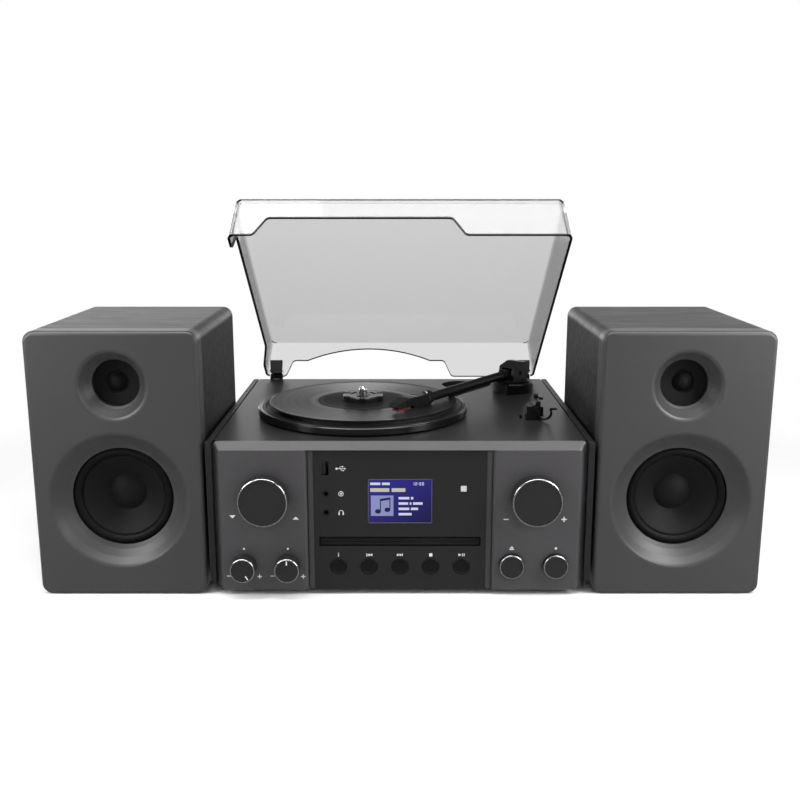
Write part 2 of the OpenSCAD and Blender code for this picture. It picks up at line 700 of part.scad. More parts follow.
module cover() color("#6a6a6a", 0.35) home() on_cover() difference() {
    top = cover_h;
    hull() {
        cover_layer(cover_low, 0, 7);
        cover_layer(top - 2, lean_in, 6);
        cover_layer(top - eps, cover_lean + 1.2, 5);
    }
    hull() {
        cover_layer(cover_low - 1, cover_t - 0.1, 5);
        cover_layer(top - cover_t - 2, lean_in + cover_t, 4);
        cover_layer(top - cover_t, cover_lean + cover_t + 1.2, 3);
    }
    // Front wall's cut-out, for a large record to pass
    along_y(-cover_front - 1, -cover_front + 14) translate([-spindle_x, 0])
        edge_cut(cut_half, cut_half - 12, cut_high, 5);
    // Rear wall's cut-out with its arch
    along_y(-14, 1) translate([-spindle_x, 0]) {
        edge_cut(cut_half, cut_half - 8, cut_high, 5);
        difference() {
            translate([0, arch_high - arch_r]) circle(r = arch_r, $fn = 240);
            translate([-200, cut_high - 400]) square([400, 399]);
        }
    }
    // Left wall's cut-out
    translate([-cover_w / 2 - 1, -side_cut_mid, 0]) rotate([90, 0, 90]) linear_extrude(14)
        edge_cut(side_cut_half, side_cut_half - 8, cut_high, 5);
    // Room for the hinges at the rear wall's free edge
    for (s = [-1, 1])
        block(s * hinge_x - 7.2, s * hinge_x + 7.2, -3.6 - cover_back, 1, cover_low - 1, 5);
}

// Inner face of the cover's rear wall at a height t above the axis
function rear_face(t) = -cover_back - cover_t + 0.1
    - (t - cover_low + 1) * (lean_in + 0.1) / (cover_h - cover_t - 1 - cover_low);

module cover_hinges() color("#0c0c0e") home() on_cover() {
    half = 3.1;
    leaf_t = 4.5;
    leaf_top = 16;
    corner_x = cover_w / 2 - cover_t - cover_lean * 0.45 - 4.5;
    for (s = [0, 1]) mirror([s, 0, 0]) difference() {
        union() {
            bar_x(0, 0, knuckle_r, hinge_x - half, hinge_x + half);
            block(hinge_x - half, hinge_x + half, rear_face(0) - 1, 0, 0.2, knuckle_r);
            translate([hinge_x, 0, 0]) rotate([90, 0, 90])
                linear_extrude(13.2, center = true) polygon([[rear_face(0.2), 0.2],
                    [rear_face(leaf_top), leaf_top], [rear_face(leaf_top) - leaf_t + 1, leaf_top],
                    [rear_face(leaf_top) - leaf_t, leaf_top - 1], [rear_face(0.2) - leaf_t, 0.2]]);
        }
        bar_x(0, 0, hinge_pin_r + run_fit, hinge_x - 4, hinge_x + 4);
        // Slanted end that clears the cover's rounded corner
        translate([corner_x, rear_face(leaf_top), 0]) rotate(-46.5)
            translate([-2, 0, -1]) cube([20, 10, leaf_top + 2]);
    }
}

// ---------- record player ----------

bearing_r = 8;
pulley_turn = 130;
pulley_px = -spindle_x + pulley_dist * cos(pulley_turn);
pulley_py = spindle_y + pulley_dist * sin(pulley_turn);
belt_low = deck_z - 7;
belt_high = deck_z - 3;

module at_spindle() {
    translate([-spindle_x, spindle_y, deck_z]) children();
}

// Bearing tube of the spindle and the motor, both hung from the well's floor
module platter_drive() color("#b09050") home() {
    at_spindle() difference() {
        union() {
            translate([0, 0, -well_d - 36]) cylinder(r = bearing_r, h = 39);
            translate([0, 0, -well_d - wall - 2.4]) cylinder(r = bearing_r + 5, h = 2.4);
        }
        translate([0, 0, -well_d - 33]) cylinder(r = spindle_r + run_fit, h = 40);
    }
    difference() {
        bar_z(pulley_px, pulley_py, 17, deck_z - well_d - wall - 20, deck_z - well_d - wall);
        bar_z(pulley_px, pulley_py, 1 + run_fit, deck_z - well_d - wall - 14, deck_z);
    }
}

module platter() color("#1e1e20") home() at_spindle() rotate_extrude($fn = 96)
    polygon([[spindle_r + run_fit, -8.7], [10, -8.7], [10, 4], [belt_rim_r - 3, 4],
        [belt_rim_r - 3, -8], [belt_rim_r, -8], [belt_rim_r, 4], [platter_r - 3.5, 4],
        [platter_r - 3, 1.2], [platter_r - 0.6, 1.2], [platter_r, 2], [platter_r, rim_z - 1],
        [platter_r - 1, rim_z], [platter_r - 7, rim_z], [platter_r - 8, rim_z - 1.2],
        [record_r - 3, rim_z - 1.2], [record_r - 4, rim_z], [record_r - 4, mat_z],
        [spindle_r + run_fit, mat_z]]);

module record() color("#0e0e10") home() at_spindle() rotate_extrude($fn = 96)
    polygon([[adapter_r + 0.3, mat_z], [record_r - 0.5, mat_z], [record_r, mat_z + 0.5],
        [record_r, mat_z + record_t - 0.4], [record_r - 1.2, mat_z + record_t],
        [record_r - 3, mat_z + record_t - 0.2], [43, mat_z + record_t - 0.2],
        [42, mat_z + record_t], [adapter_r + 0.3, mat_z + record_t]]);

module record_adapter() color("#2a2a2c") home() at_spindle() difference() {
    rotate_extrude() polygon([[spindle_r + run_fit, mat_z], [adapter_r, mat_z],
        [adapter_r, mat_z + adapter_h - 1], [adapter_r - 1, mat_z + adapter_h],
        [spindle_r + run_fit, mat_z + adapter_h]]);
    for (a = [0:120:240]) rotate(a + 30) translate([0, 0, mat_z + adapter_h - 2])
        linear_extrude(3) {
            for (s = [-1, 1]) translate([10.5, s * 3.5]) circle(r = 1.8);
            translate([10.5 - 1.8, -3.5]) square([3.6, 7]);
        }
}

module spindle() color("#d0d0d0") home() at_spindle() rotate_extrude()
    polygon([[0, -well_d - 32.7], [spindle_r - 1, -well_d - 32.7], [spindle_r, -well_d - 31],
        [spindle_r, 21.5], [spindle_r - 0.5, 23.2], [spindle_r - 1.8, 24.6], [0, 25.2]]);

module motor_pulley() color("#d0b060") home() {
    translate([pulley_px, pulley_py, 0]) rotate_extrude()
        polygon([[0, deck_z - well_d - wall - 13], [1, deck_z - well_d - wall - 13],
            [1, deck_z - 10], [pulley_r + 1.2, deck_z - 10], [pulley_r + 1.2, deck_z - 8],
            [pulley_r, deck_z - 7.6], [pulley_r, deck_z - 2.4], [pulley_r + 1.2, deck_z - 2],
            [pulley_r + 1.2, deck_z - 1], [0, deck_z - 1]]);
}

// Outline round the belt rim and the pulley at a distance from both
module belt_outline(away) {
    big = belt_rim_r + away;
    small = pulley_r + away;
    lean = acos((belt_rim_r - pulley_r) / pulley_dist);
    translate([-spindle_x, spindle_y]) circle(r = big, $fn = 120);
    translate([pulley_px, pulley_py]) circle(r = small);
    polygon([
        [-spindle_x + big * cos(pulley_turn + lean), spindle_y + big * sin(pulley_turn + lean)],
        [pulley_px + small * cos(pulley_turn + lean), pulley_py + small * sin(pulley_turn + lean)],
        [pulley_px + small * cos(pulley_turn - lean), pulley_py + small * sin(pulley_turn - lean)],
        [-spindle_x + big * cos(pulley_turn - lean), spindle_y + big * sin(pulley_turn - lean)]]);
}

module drive_belt() color("#181818") home()
    translate([0, 0, belt_low]) linear_extrude(belt_high - belt_low) difference() {
        belt_outline(belt_t + 0.08);
        belt_outline(0.08);
    }

// ---------- tone arm ----------

pivot_shaft_r = 4;
cheek_in = 5.9;
cheek_t = 3.4;

// Local frame of the arm: +X along the arm, origin on the deck at the pivot
module at_pivot(turn = 0) {
    translate([pivot_x, pivot_y, deck_z]) rotate(-arm_turn + turn) children();
}

module arm_base() color("#1a1a1c") home() difference() {
    union() {
        translate([pivot_x, pivot_y, deck_z]) rotate_extrude()
            polygon([[0, 0], [drum_r, 0], [drum_r, drum_h - 1], [drum_r - 1, drum_h],
                [drum_r - 3, drum_h], [drum_r - 3.6, drum_h - 0.8], [0, drum_h - 0.8]]);
        bar_z(pivot_x, pivot_y, pivot_shaft_r + 1.95, deck_z - 22, deck_z + eps);
    }
    bar_z(pivot_x, pivot_y, pivot_shaft_r + run_fit, deck_z - 19, deck_z + drum_h + 1);
}

module arm_turret() color("#2e2e30") home() at_pivot() {
    low = drum_h - 0.5;
    plate_z = drum_h + 2.2;
    top = tilt_z + 11.2;
    difference() {
        union() {
            translate([0, 0, -18.7]) cylinder(r = pivot_shaft_r, h = low + 19.7);
            translate([0, 0, low]) cylinder(r = drum_r - 4.4, h = plate_z - low);
            // Two cheeks that carry the arm's tilting axis
            for (s = [-1, 1]) translate([0, s * (cheek_in + cheek_t / 2), 0])
                rotate([90, 0, 0]) linear_extrude(cheek_t, center = true)
                    polygon([[-13, plate_z - eps], [13, plate_z - eps], [14.5, plate_z + 6],
                        [11, top - 3.5], [-3, top], [-11, top - 0.5], [-14.5, top - 5]]);
            // Hood over the cheeks
            rotate([90, 0, 0]) linear_extrude(2 * cheek_in + 2 * cheek_t, center = true)
                polygon([[12.6, top - 5.2], [11, top - 3.5], [-3, top], [-11, top - 0.5],
                    [-14.5, top - 5], [-13, top - 5.8], [-10, top - 2.6], [-3, top - 2.2],
                    [9.6, top - 4.9]]);
        }
        rotate([90, 0, 0]) translate([0, tilt_z, -15]) cylinder(r = tilt_pin_r + run_fit, h = 30);
    }
}

// The tube dips by this angle from the pivot to the head
tube_dip = 0.85;

// Frame of the arm at its tilting axis, +X along the tube
module at_tilt() {
    at_pivot() translate([0, 0, tilt_z]) rotate([0, tube_dip, 0]) children();
}

module arm_tube() color("#1c1c1e") home() at_tilt() {
    rotate([0, 90, 0]) rotate_extrude() polygon([[0, -9], [4.6, -9], [5, -8], [5, 8],
        [tube_r + 0.5, 14], [tube_r, 24], [tube_r, tube_l], [0, tube_l]]);
    rotate([90, 0, 0]) cylinder(r = tilt_pin_r, h = 2 * (cheek_in + cheek_t), center = true);
}

tilt_pin_r = 1.5;

module headshell() color("#161618") home() at_tilt() {
    // Collar that grips the tube
    translate([tube_l, 0, 0.5]) rotate([0, 90, 0]) rotate_extrude()
        polygon([[0, 0], [4.9, 0], [5.4, 0.6], [5.4, 9.4], [4.9, 10], [0, 10]]);
    // Shell that rises to a crest and narrows to the finger lift
    intersection() {
        rotate([90, 0, 0]) linear_extrude(14, center = true)
            polygon([[tube_l + 9, -4.7], [tube_l + 32, -4.4], [tube_l + 33, -1.1],
                [tube_l + 52, -1.1], [tube_l + 54, 0.2], [tube_l + 58, 0.9], [tube_l + 58, 1.7],
                [tube_l + 53, 3.8], [tube_l + 38, 6.4], [tube_l + 30, 6.4], [tube_l + 24, 5.8],
                [tube_l + 23.6, 5.4], [tube_l + 22.4, 5.4], [tube_l + 22, 5.8],
                [tube_l + 9, 5.6]]);
        translate([0, 0, -10]) linear_extrude(20)
            polygon([[tube_l + 9, -5.4], [tube_l + 22, -6.2], [tube_l + 45, -6],
                [tube_l + 54, -4.4], [tube_l + 58, -2.4], [tube_l + 58, 2.4],
                [tube_l + 54, 4.4], [tube_l + 45, 6], [tube_l + 22, 6.2], [tube_l + 9, 5.4]]);
    }
}

module cartridge() color("#7a1f26") home() at_tilt() {
    rotate([90, 0, 0]) linear_extrude(7, center = true)
        polygon([[tube_l + 34, -1.1], [tube_l + 50.5, -1.1], [tube_l + 53, -2.4],
            [tube_l + 52.5, -3.4], [tube_l + 48, -4], [tube_l + 35, -3.4]]);
    // Stylus, just above the record
    translate([arm_l, 0, -stylus_drop]) cylinder(r1 = 0.25, r2 = 0.8, h = stylus_drop - 3.2, $fn = 24);
}

// Distance from the tube's axis down to the stylus tip
stylus_drop = (tilt_z - mat_z - record_t - 0.3) / cos(tube_dip) - arm_l * tan(tube_dip);

rest_y = pivot_y - rest_dist * sin(arm_turn - park_turn);
rest_x = pivot_x + rest_dist * cos(arm_turn - park_turn);
rest_h = tilt_z - rest_dist * sin(tube_dip);
rest_left = 3.9;
rest_right = 8.6;
saddle_r = tube_r + 0.5;
hook_x = rest_x + 4.4;
hook_h = rest_h - 7.5;
hook_pin_r = 1.2;
hook_t = 2.4;
hook_y = rest_y - 7 - 0.3 - hook_t;
lever_x = rest_x + 7.1;
lever_y = rest_y + 14;
lever_h = 5.5;
axle_r = 1.6;

module arm_rest() color("#121214") home() translate([0, 0, deck_z]) {
    difference() {
        block(rest_x - rest_left, rest_x + rest_right, rest_y - 7, rest_y + 7, 0, rest_h);
        bar_y(rest_x, rest_h, saddle_r, rest_y - 8, rest_y + 8);
        block(rest_x - saddle_r - 1, rest_x, rest_y - 8, rest_y + 8, rest_h - saddle_r, rest_h + 1);
        bar_y(hook_x, hook_h, hook_pin_r + run_fit, rest_y - 8, rest_y);
    }
    // Bearing block of the lift lever
    difference() {
        block(lever_x - 2.6, lever_x + 6.8, lever_y - 4, lever_y + 4, 0, 8.6);
        bar_x(lever_y, lever_h, axle_r + run_fit, lever_x - 4, lever_x + 8);
        block(lever_x - 1.3, lever_x + 1.3, lever_y - 5, lever_y + 5, 2.2, 9);
    }
}

// Hook that swings over the parked tube, drawn where it lies open beside the rest
module arm_clip() color("#1c1c1e") home() translate([0, 0, deck_z]) {
    turn = -140;
    dx = (rest_x - hook_x) * cos(turn) - (rest_h - hook_h) * sin(turn);
    dz = (rest_x - hook_x) * sin(turn) + (rest_h - hook_h) * cos(turn);
    along_y(hook_y, hook_y + hook_t) translate([hook_x, hook_h]) {
        circle(r = 2.3);
        translate([dx, dz]) difference() {
            circle(r = saddle_r + 1.7);
            circle(r = saddle_r);
            polygon([[0, 0], [12, 10], [0, 16], [-12, 12], [-12, 3.4]]);
        }
        // Finger tab at the free end
        translate([dx + 4.4, dz + 3]) square([6, 1.7]);
    }
    bar_y(hook_x, hook_h, hook_pin_r, hook_y + eps, rest_y - 1);
}

// Stick on an axle, with a knob and a cross bar at its top
module lift_lever() color("#1c1c1e") home() translate([0, 0, deck_z]) {
    top = 20.4;
    bar_x(lever_y, lever_h, axle_r, lever_x - 2.4, lever_x + 6.6);
    bar_x(lever_y, lever_h, 2.6, lever_x - 1.1, lever_x + 1.1);
    block(lever_x - 1.1, lever_x + 1.1, lever_y - 1.3, lever_y + 1.3, lever_h, top - 3);
    block(lever_x - 1.1, lever_x + 6.6, lever_y - 1.3, lever_y + 1.3, top - 5.4, top - 3.2);
    bar_x(lever_y, top - 2, 2, lever_x - 1.9, lever_x + 1.9);
}

module lift_platform() color("#1c1c1e") home() {
    top = tilt_z - lift_arc_r * sin(tube_dip) - tube_r - 0.4;
    translate([pivot_x, pivot_y, deck_z]) rotate(post_turn) {
        translate([lift_arc_r, 0, -9]) cylinder(r = post_r, h = top + 9 - 1);
        rotate(-park_turn / 2 - 8) translate([0, 0, top - 2])
            rotate_extrude(angle = park_turn + 16) translate([lift_arc_r - 1.8, 0]) square([3.6, 2]);
    }
}

module speed_slider() color("#242426") home() {
    block(slider_x - slider_slot_w / 2 + 0.15, slider_x + slider_slot_w / 2 - 0.15,
        slider_y - 2, slider_y + 2, deck_z - deck_t - 1.5, deck_z + 2.6);
    block(slider_x - 3.5, slider_x + 3.5, slider_y - 3.5, slider_y + 3.5,
        deck_z - deck_t - 1.5, deck_z - deck_t - 0.1);
}

// ---------- controls ----------

// Knob turned about its shaft, with its front face at y = -gap - height
module big_knob(x) {
    y1 = -big_knob_gap;
    y0 = y1 - big_knob_h;
    turned_y(x, foot_h + big_knob_z)
        polygon([[0, y0 + 0.5], [big_knob_r - 1.6, y0 + 0.5], [big_knob_r - 1.4, y0],
            [big_knob_r - 0.3, y0], [big_knob_r, y0 + 0.4], [big_knob_r, y1], [shaft_r, y1],
            [shaft_r, board_y - 4.2], [0, board_y - 4.2]]);
}

module plunger(x) difference() {
    bar_y(x, foot_h + big_knob_z, plunger_r, fascia_t + 2, board_y - 0.8 - knob_push);
    bar_y(x, foot_h + big_knob_z, shaft_r + run_fit, fascia_t + 1, board_y - 4);
}

// Tone knob with a pointer groove, turned clockwise from upright
module tone_knob(x, turn) {
    y1 = -tone_knob_gap;
    y0 = y1 - tone_knob_h;
    difference() {
        turned_y(x, foot_h + low_row_z)
            polygon([[0, y0 + 0.4], [tone_knob_r - 1.3, y0 + 0.4], [tone_knob_r - 1.1, y0],
                [tone_knob_r - 0.3, y0], [tone_knob_r, y0 + 0.3], [tone_knob_r, y1], [shaft_r, y1],
                [shaft_r, board_y - 1.6], [0, board_y - 1.6]]);
        translate([x, y0, foot_h + low_row_z]) rotate([0, turn, 0])
            translate([-0.6, -1, tone_knob_r - 5.4]) cube([1.2, 1.8, 4]);
    }
}

module select_plunger() color("#b0b0b0") home() plunger(-big_knob_x);
module volume_plunger() color("#b0b0b0") home() plunger(big_knob_x);
module select_knob() color("#2a2a2c") home() big_knob(-big_knob_x);
module volume_knob() color("#2a2a2c") home() big_knob(big_knob_x);
module bass_knob() color("#2a2a2c") home() tone_knob(-bass_x, 150);
module treble_knob() color("#2a2a2c") home() tone_knob(-treble_x, 0);

// Button with a flange behind the fascia, standing out by a distance
module push_button(x, z, r, out, stem_r) {
    turned_y(x, z)
        polygon([[0, -out + 0.3], [r - 1.3, -out + 0.3], [r - 1.1, -out], [r - 0.3, -out],
            [r, -out + 0.3], [r, fascia_t + 0.4], [r + 0.8, fascia_t + 0.4],
            [r + 0.8, fascia_t + 1.4], [stem_r, fascia_t + 1.4],
            [stem_r, switch_y - 0.2 - key_push], [0, switch_y - 0.2 - key_push]]);
}

module round_button(x) push_button(x, foot_h + low_row_z, round_button_r, round_button_out, 3);
module key(i) push_button(i * key_step, foot_h + key_z, key_r, -panel_back + 0.5, 2);

module eject_button() color("#2a2a2c") home() round_button(eject_x);
module record_button() color("#2a2a2c") home() round_button(record_x);
module info_button() color("#1c1c1e") home() key(-2);
module previous_button() color("#1c1c1e") home() key(-1);
module next_button() color("#1c1c1e") home() key(0);
module stop_button() color("#1c1c1e") home() key(1);
module play_button() color("#1c1c1e") home() key(2);

// ---------- speakers ----------

baffle_back = spk_y + baffle_t;
spk_back = spk_y + spk_d;

module cabinet() difference() {
    translate([0, 0, spk_h / 2]) along_y(baffle_back, spk_back) rounded_rect(spk_w, spk_h, spk_edge_r);
    translate([0, 0, spk_h / 2]) along_y(baffle_back - 1, spk_back - spk_wall)
        rounded_rect(spk_w - 2 * spk_wall, spk_h - 2 * spk_wall, 3);
    bar_y(0, spk_socket_z, cup_r + 0.2, spk_back - spk_wall - 1, spk_back + 1);
}

// Edge of the baffle from its back round to its face, as distance out and place along Y
function baffle_edge(r) = [[0, 0], [r - 3.2, 0], [r - 1.6, 0.5], [r - 0.5, 1.6], [r, 3.2],
    [r, baffle_t], [0, baffle_t]];

// Baffle block with its front edges rounded off in three steps
module baffle_block() translate([0, spk_y, spk_h / 2]) {
    half_x = spk_w / 2 - spk_edge_r;
    half_z = spk_h / 2 - spk_edge_r;
    for (x = [-1, 1], z = [-1, 1]) translate([x * half_x, 0, z * half_z])
        rotate([-90, 0, 0]) rotate_extrude() polygon(baffle_edge(spk_edge_r));
    rotate([0, -90, 0]) linear_extrude(2 * half_x, center = true) baffle_profile(half_z);
    linear_extrude(2 * half_z, center = true) baffle_profile(half_x);
}

// Section through the baffle block with rounded front edges on both sides
module baffle_profile(half) {
    edge = baffle_edge(spk_edge_r);
    polygon([for (p = edge) [half + p[0], p[1]]]);
    mirror([1, 0]) polygon([for (p = edge) [half + p[0], p[1]]]);
    translate([-half - 1, 0]) square([2 * half + 2, baffle_t]);
}

// Dish cut into the baffle: profile from the face's radius down to the throat
module dish(z, face_r, throat, depth) {
    y0 = spk_y;
    lip = 3;
    turned_y(0, z)
        polygon([[0, y0 - 1], [face_r + 0.5, y0 - 1], [face_r, y0 - eps],
            [face_r - lip * 0.5, y0 + 0.35], [face_r - lip, y0 + 1.4],
            [face_r - lip - (face_r - lip - throat) * 0.35, y0 + 1.4 + (depth - 1.4) * 0.42],
            [face_r - lip - (face_r - lip - throat) * 0.75, y0 + 1.4 + (depth - 1.4) * 0.82],
            [throat, y0 + depth], [throat, baffle_back + 1], [0, baffle_back + 1]]);
}

module baffle() difference() {
    baffle_block();
    dish(woofer_z, dish_r, throat_r, 13);
    dish(tweeter_z, horn_r, horn_throat_r, 12);
}

roll_r = 3.6;
roll_mid = throat_r - 0.4 - roll_r;
cone_r = roll_mid - roll_r;
cone_y = spk_y + 16;
coil_r = 12.5;
coil_y = cone_y + 16;
pole_r = coil_r - 0.5 - 0.08;

// Frame with its magnet, and the rubber surround clamped between frame and baffle
module woofer_frame() {
    y0 = baffle_back;
    turned_y(0, woofer_z) {
        // Flange and basket
        polygon([[throat_r - 0.2, y0 + 0.8 - eps], [throat_r + 8, y0 + 0.8 - eps],
            [throat_r + 8, y0 + 3], [throat_r, y0 + 3], [33, y0 + 26], [33, y0 + 28],
            [coil_r + 1, y0 + 28], [coil_r + 1, y0 + 26], [30, y0 + 26], [throat_r - 2, y0 + 3]]);
        // Magnet with its pole piece
        polygon([[coil_r + 1, y0 + 28 - eps], [31, y0 + 28 - eps], [31, y0 + 44], [0, y0 + 44],
            [0, y0 + 18], [pole_r, y0 + 18], [pole_r, y0 + 40], [coil_r + 1, y0 + 40]]);
        // Surround: half a roll, a skirt along the opening and a flange
        difference() {
            translate([roll_mid, cone_y]) circle(r = roll_r);
            translate([roll_mid, cone_y]) circle(r = roll_r - 0.7);
            translate([roll_mid - 6, cone_y]) square([12, 6]);
        }
        polygon([[throat_r - 1.1, cone_y - eps], [throat_r - 0.4, cone_y - eps],
            [throat_r - 0.4, y0], [throat_r + 8, y0], [throat_r + 8, y0 + 0.8],
            [throat_r - 1.1, y0 + 0.8]]);
    }
}

module woofer_cone() turned_y(0, woofer_z) {
    polygon([[cone_r - 0.2, cone_y - 0.4], [cone_r - 0.2, cone_y + 0.8], [coil_r, coil_y + 1],
        [coil_r, coil_y + 14], [coil_r - 0.5, coil_y + 14], [coil_r - 0.5, coil_y - 0.6],
        [cap_r, coil_y - 3.9], [cone_r - 1.6, cone_y + 0.2], [cone_r - 1.2, cone_y - 0.4]]);
    // Dust cap
    difference() {
        translate([0, cap_mid]) circle(r = cap_ball_r, $fn = 96);
        translate([0, cap_mid]) circle(r = cap_ball_r - 0.6, $fn = 96);
        translate([-60, cap_y]) square([120, 120]);
        translate([-60, -60]) square([60, 200]);
    }
}

cap_y = coil_y - 3.6;
cap_ball_r = 24;
cap_mid = cap_y + sqrt(cap_ball_r * cap_ball_r - cap_r * cap_r);

module tweeter() {
    y0 = baffle_back;
    turned_y(0, tweeter_z) polygon([[0, y0 - 4.5], [4, y0 - 3.9], [7, y0 - 1.4], [7.4, y0],
        [8.2, y0 + 0.4], [10, y0 - 1], [horn_throat_r - 0.3, y0 - 2.2], [horn_throat_r - 0.3, y0],
        [horn_throat_r + 8, y0], [horn_throat_r + 8, y0 + 3], [22, y0 + 3], [22, y0 + 18],
        [0, y0 + 18]]);
}

spk_socket_z = 96;
cup_r = 14;

module speaker_socket() {
    difference() {
        union() {
            bar_y(0, spk_socket_z, cup_r, spk_back - spk_wall, spk_back + eps);
            bar_y(0, spk_socket_z, cup_r + 4, spk_back, spk_back + 2);
        }
        bar_y(0, spk_socket_z, phono_r - eps, spk_back - spk_wall - 1, spk_back + 3);
    }
    phono(0, spk_socket_z, spk_back);
}

module left_speaker() home() translate([-spk_x, 0, 0]) children();
module right_speaker() home() translate([spk_x, 0, 0]) children();

module speaker_cabinet_left() color("#2c2a2a") left_speaker() cabinet();
module speaker_cabinet_right() color("#2c2a2a") right_speaker() cabinet();
module speaker_baffle_left() color("#4c4c4e") left_speaker() baffle();
module speaker_baffle_right() color("#4c4c4e") right_speaker() baffle();
module woofer_frame_left() color("#141414") left_speaker() woofer_frame();
module woofer_frame_right() color("#141414") right_speaker() woofer_frame();
module woofer_cone_left() color("#1a1a1a") left_speaker() woofer_cone();
module woofer_cone_right() color("#1a1a1a") right_speaker() woofer_cone();
module tweeter_left() color("#161616") left_speaker() tweeter();
module tweeter_right() color("#161616") right_speaker() tweeter();
module speaker_socket_left() color("#202020") left_speaker() speaker_socket();
module speaker_socket_right() color("#202020") right_speaker() speaker_socket();

bottom_tray();
rear_panel();
side_boards();
deck_plate();
fascia_frame();
centre_panel();
display_screen();
remote_window();
usb_socket();
audio_jacks();
disc_drive();
circuit_boards();
control_board();
rear_sockets();
power_inlet();
hinge_brackets();
cover();
cover_hinges();
platter_drive();
drive_belt();
motor_pulley();
platter();
spindle();
record();
record_adapter();
arm_base();
arm_turret();
arm_tube();
headshell();
cartridge();
arm_rest();
arm_clip();
lift_lever();
lift_platform();
speed_slider();
select_plunger();
select_knob();
volume_plunger();
volume_knob();
bass_knob();
treble_knob();
eject_button();
record_button();
info_button();
previous_button();
next_button();
stop_button();
play_button();
speaker_cabinet_left();
speaker_baffle_left();
woofer_frame_left();
woofer_cone_left();
tweeter_left();
speaker_socket_left();
speaker_cabinet_right();
speaker_baffle_right();
woofer_frame_right();
woofer_cone_right();
tweeter_right();
speaker_socket_right();
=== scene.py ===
"""Looks of a stereo music centre with its record player, cover and two speakers."""

import json
import math

import bmesh
import bpy
from bpy.props import FloatProperty, FloatVectorProperty, PointerProperty
from mathutils import Matrix, Vector
from mathutils.bvhtree import BVHTree

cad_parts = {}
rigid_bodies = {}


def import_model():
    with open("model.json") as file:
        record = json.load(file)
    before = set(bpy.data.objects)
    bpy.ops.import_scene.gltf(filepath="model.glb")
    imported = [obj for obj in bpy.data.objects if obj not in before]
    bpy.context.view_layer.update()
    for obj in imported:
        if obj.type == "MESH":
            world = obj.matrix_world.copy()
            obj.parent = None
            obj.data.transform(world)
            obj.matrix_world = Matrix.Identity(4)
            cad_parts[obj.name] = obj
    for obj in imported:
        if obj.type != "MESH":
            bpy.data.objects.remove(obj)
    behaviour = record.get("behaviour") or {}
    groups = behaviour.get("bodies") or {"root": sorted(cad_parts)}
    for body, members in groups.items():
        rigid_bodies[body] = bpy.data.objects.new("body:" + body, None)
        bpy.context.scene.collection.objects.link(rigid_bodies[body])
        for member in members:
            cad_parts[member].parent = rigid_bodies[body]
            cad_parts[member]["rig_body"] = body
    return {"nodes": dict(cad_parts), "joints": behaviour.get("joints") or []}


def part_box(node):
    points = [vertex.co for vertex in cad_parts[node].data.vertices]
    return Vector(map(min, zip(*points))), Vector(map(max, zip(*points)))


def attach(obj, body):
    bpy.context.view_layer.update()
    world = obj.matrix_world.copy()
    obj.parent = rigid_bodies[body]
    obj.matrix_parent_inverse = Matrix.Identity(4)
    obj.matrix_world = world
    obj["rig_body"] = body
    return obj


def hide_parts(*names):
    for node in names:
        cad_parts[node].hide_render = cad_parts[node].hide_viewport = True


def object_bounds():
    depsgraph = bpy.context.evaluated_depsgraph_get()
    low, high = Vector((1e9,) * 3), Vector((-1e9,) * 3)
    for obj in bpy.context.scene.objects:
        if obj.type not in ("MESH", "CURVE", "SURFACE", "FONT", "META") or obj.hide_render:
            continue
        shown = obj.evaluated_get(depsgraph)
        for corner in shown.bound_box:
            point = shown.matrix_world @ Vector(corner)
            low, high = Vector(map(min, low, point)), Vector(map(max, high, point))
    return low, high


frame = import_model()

CAD_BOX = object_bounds()
NODES = frame["nodes"]
WAYS = {"X": Vector((1, 0, 0)), "Y": Vector((0, 1, 0)), "Z": Vector((0, 0, 1))}
SHARP_ANGLE = math.radians(30)

bl_info = {
    "name": "Stereo music centre",
    "version": (1, 0, 0),
    "blender": (4, 5, 0),
    "location": "3D View > Sidebar > Music centre",
    "description": "Dresses the music centre's solids and builds its small parts",
    "category": "Object",
}


# ---------- colours, sizes and places ----------

def linear(code):
    """The linear colour of an sRGB hex value."""
    parts = [int(code[i:i + 2], 16) / 255 for i in (1, 3, 5)]
    return tuple(p / 12.92 if p <= 0.04045 else ((p + 0.055) / 1.055) ** 2.4 for p in parts)


def rgba(colour):
    """A colour with full alpha, from three linear numbers."""
    return (colour[0], colour[1], colour[2], 1.0)


def mm(length):
    """Metres from millimetres."""
    return length / 1000


def mms(*points):
    """Points in metres from points in millimetres."""
    return [tuple(mm(value) for value in point) for point in points]


def middle(node):
    """Centre of a node's box."""
    low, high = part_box(node)
    return (low + high) / 2


def front(node):
    """Point in the middle of a node's front side."""
    low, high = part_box(node)
    return Vector(((low.x + high.x) / 2, low.y, (low.z + high.z) / 2))


def body_of(node):
    """Name of the body that a node rides on."""
    return NODES[node]["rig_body"]


def joint(name):
    """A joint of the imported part."""
    return next(j for j in frame["joints"] if j["name"] == name)


def arm_frame():
    """Tone arm's pivot and its directions: along the tube to the head, across it and up."""
    lift = joint("arm_lift")
    across = Vector(lift["axis"]).normalized()
    level = Vector((-across.y, across.x, 0))
    dip = math.radians(0.85)
    along = level * math.cos(dip) - WAYS["Z"] * math.sin(dip)
    up = across.cross(along)
    if up.z < 0:
        up = -up
    return Vector(lift["pos_m"]), along, across, up


# ---------- shader nodes ----------

def add(tree, kind, inputs=None, **settings):
    """Adds one shader node with its settings, and sets or links its inputs."""
    node = tree.nodes.new("ShaderNode" + kind)
    for name, value in settings.items():
        setattr(node, name, value)
    for name, value in (inputs or {}).items():
        if isinstance(value, bpy.types.NodeSocket):
            tree.links.new(value, node.inputs[name])
        else:
            node.inputs[name].default_value = value
    return node


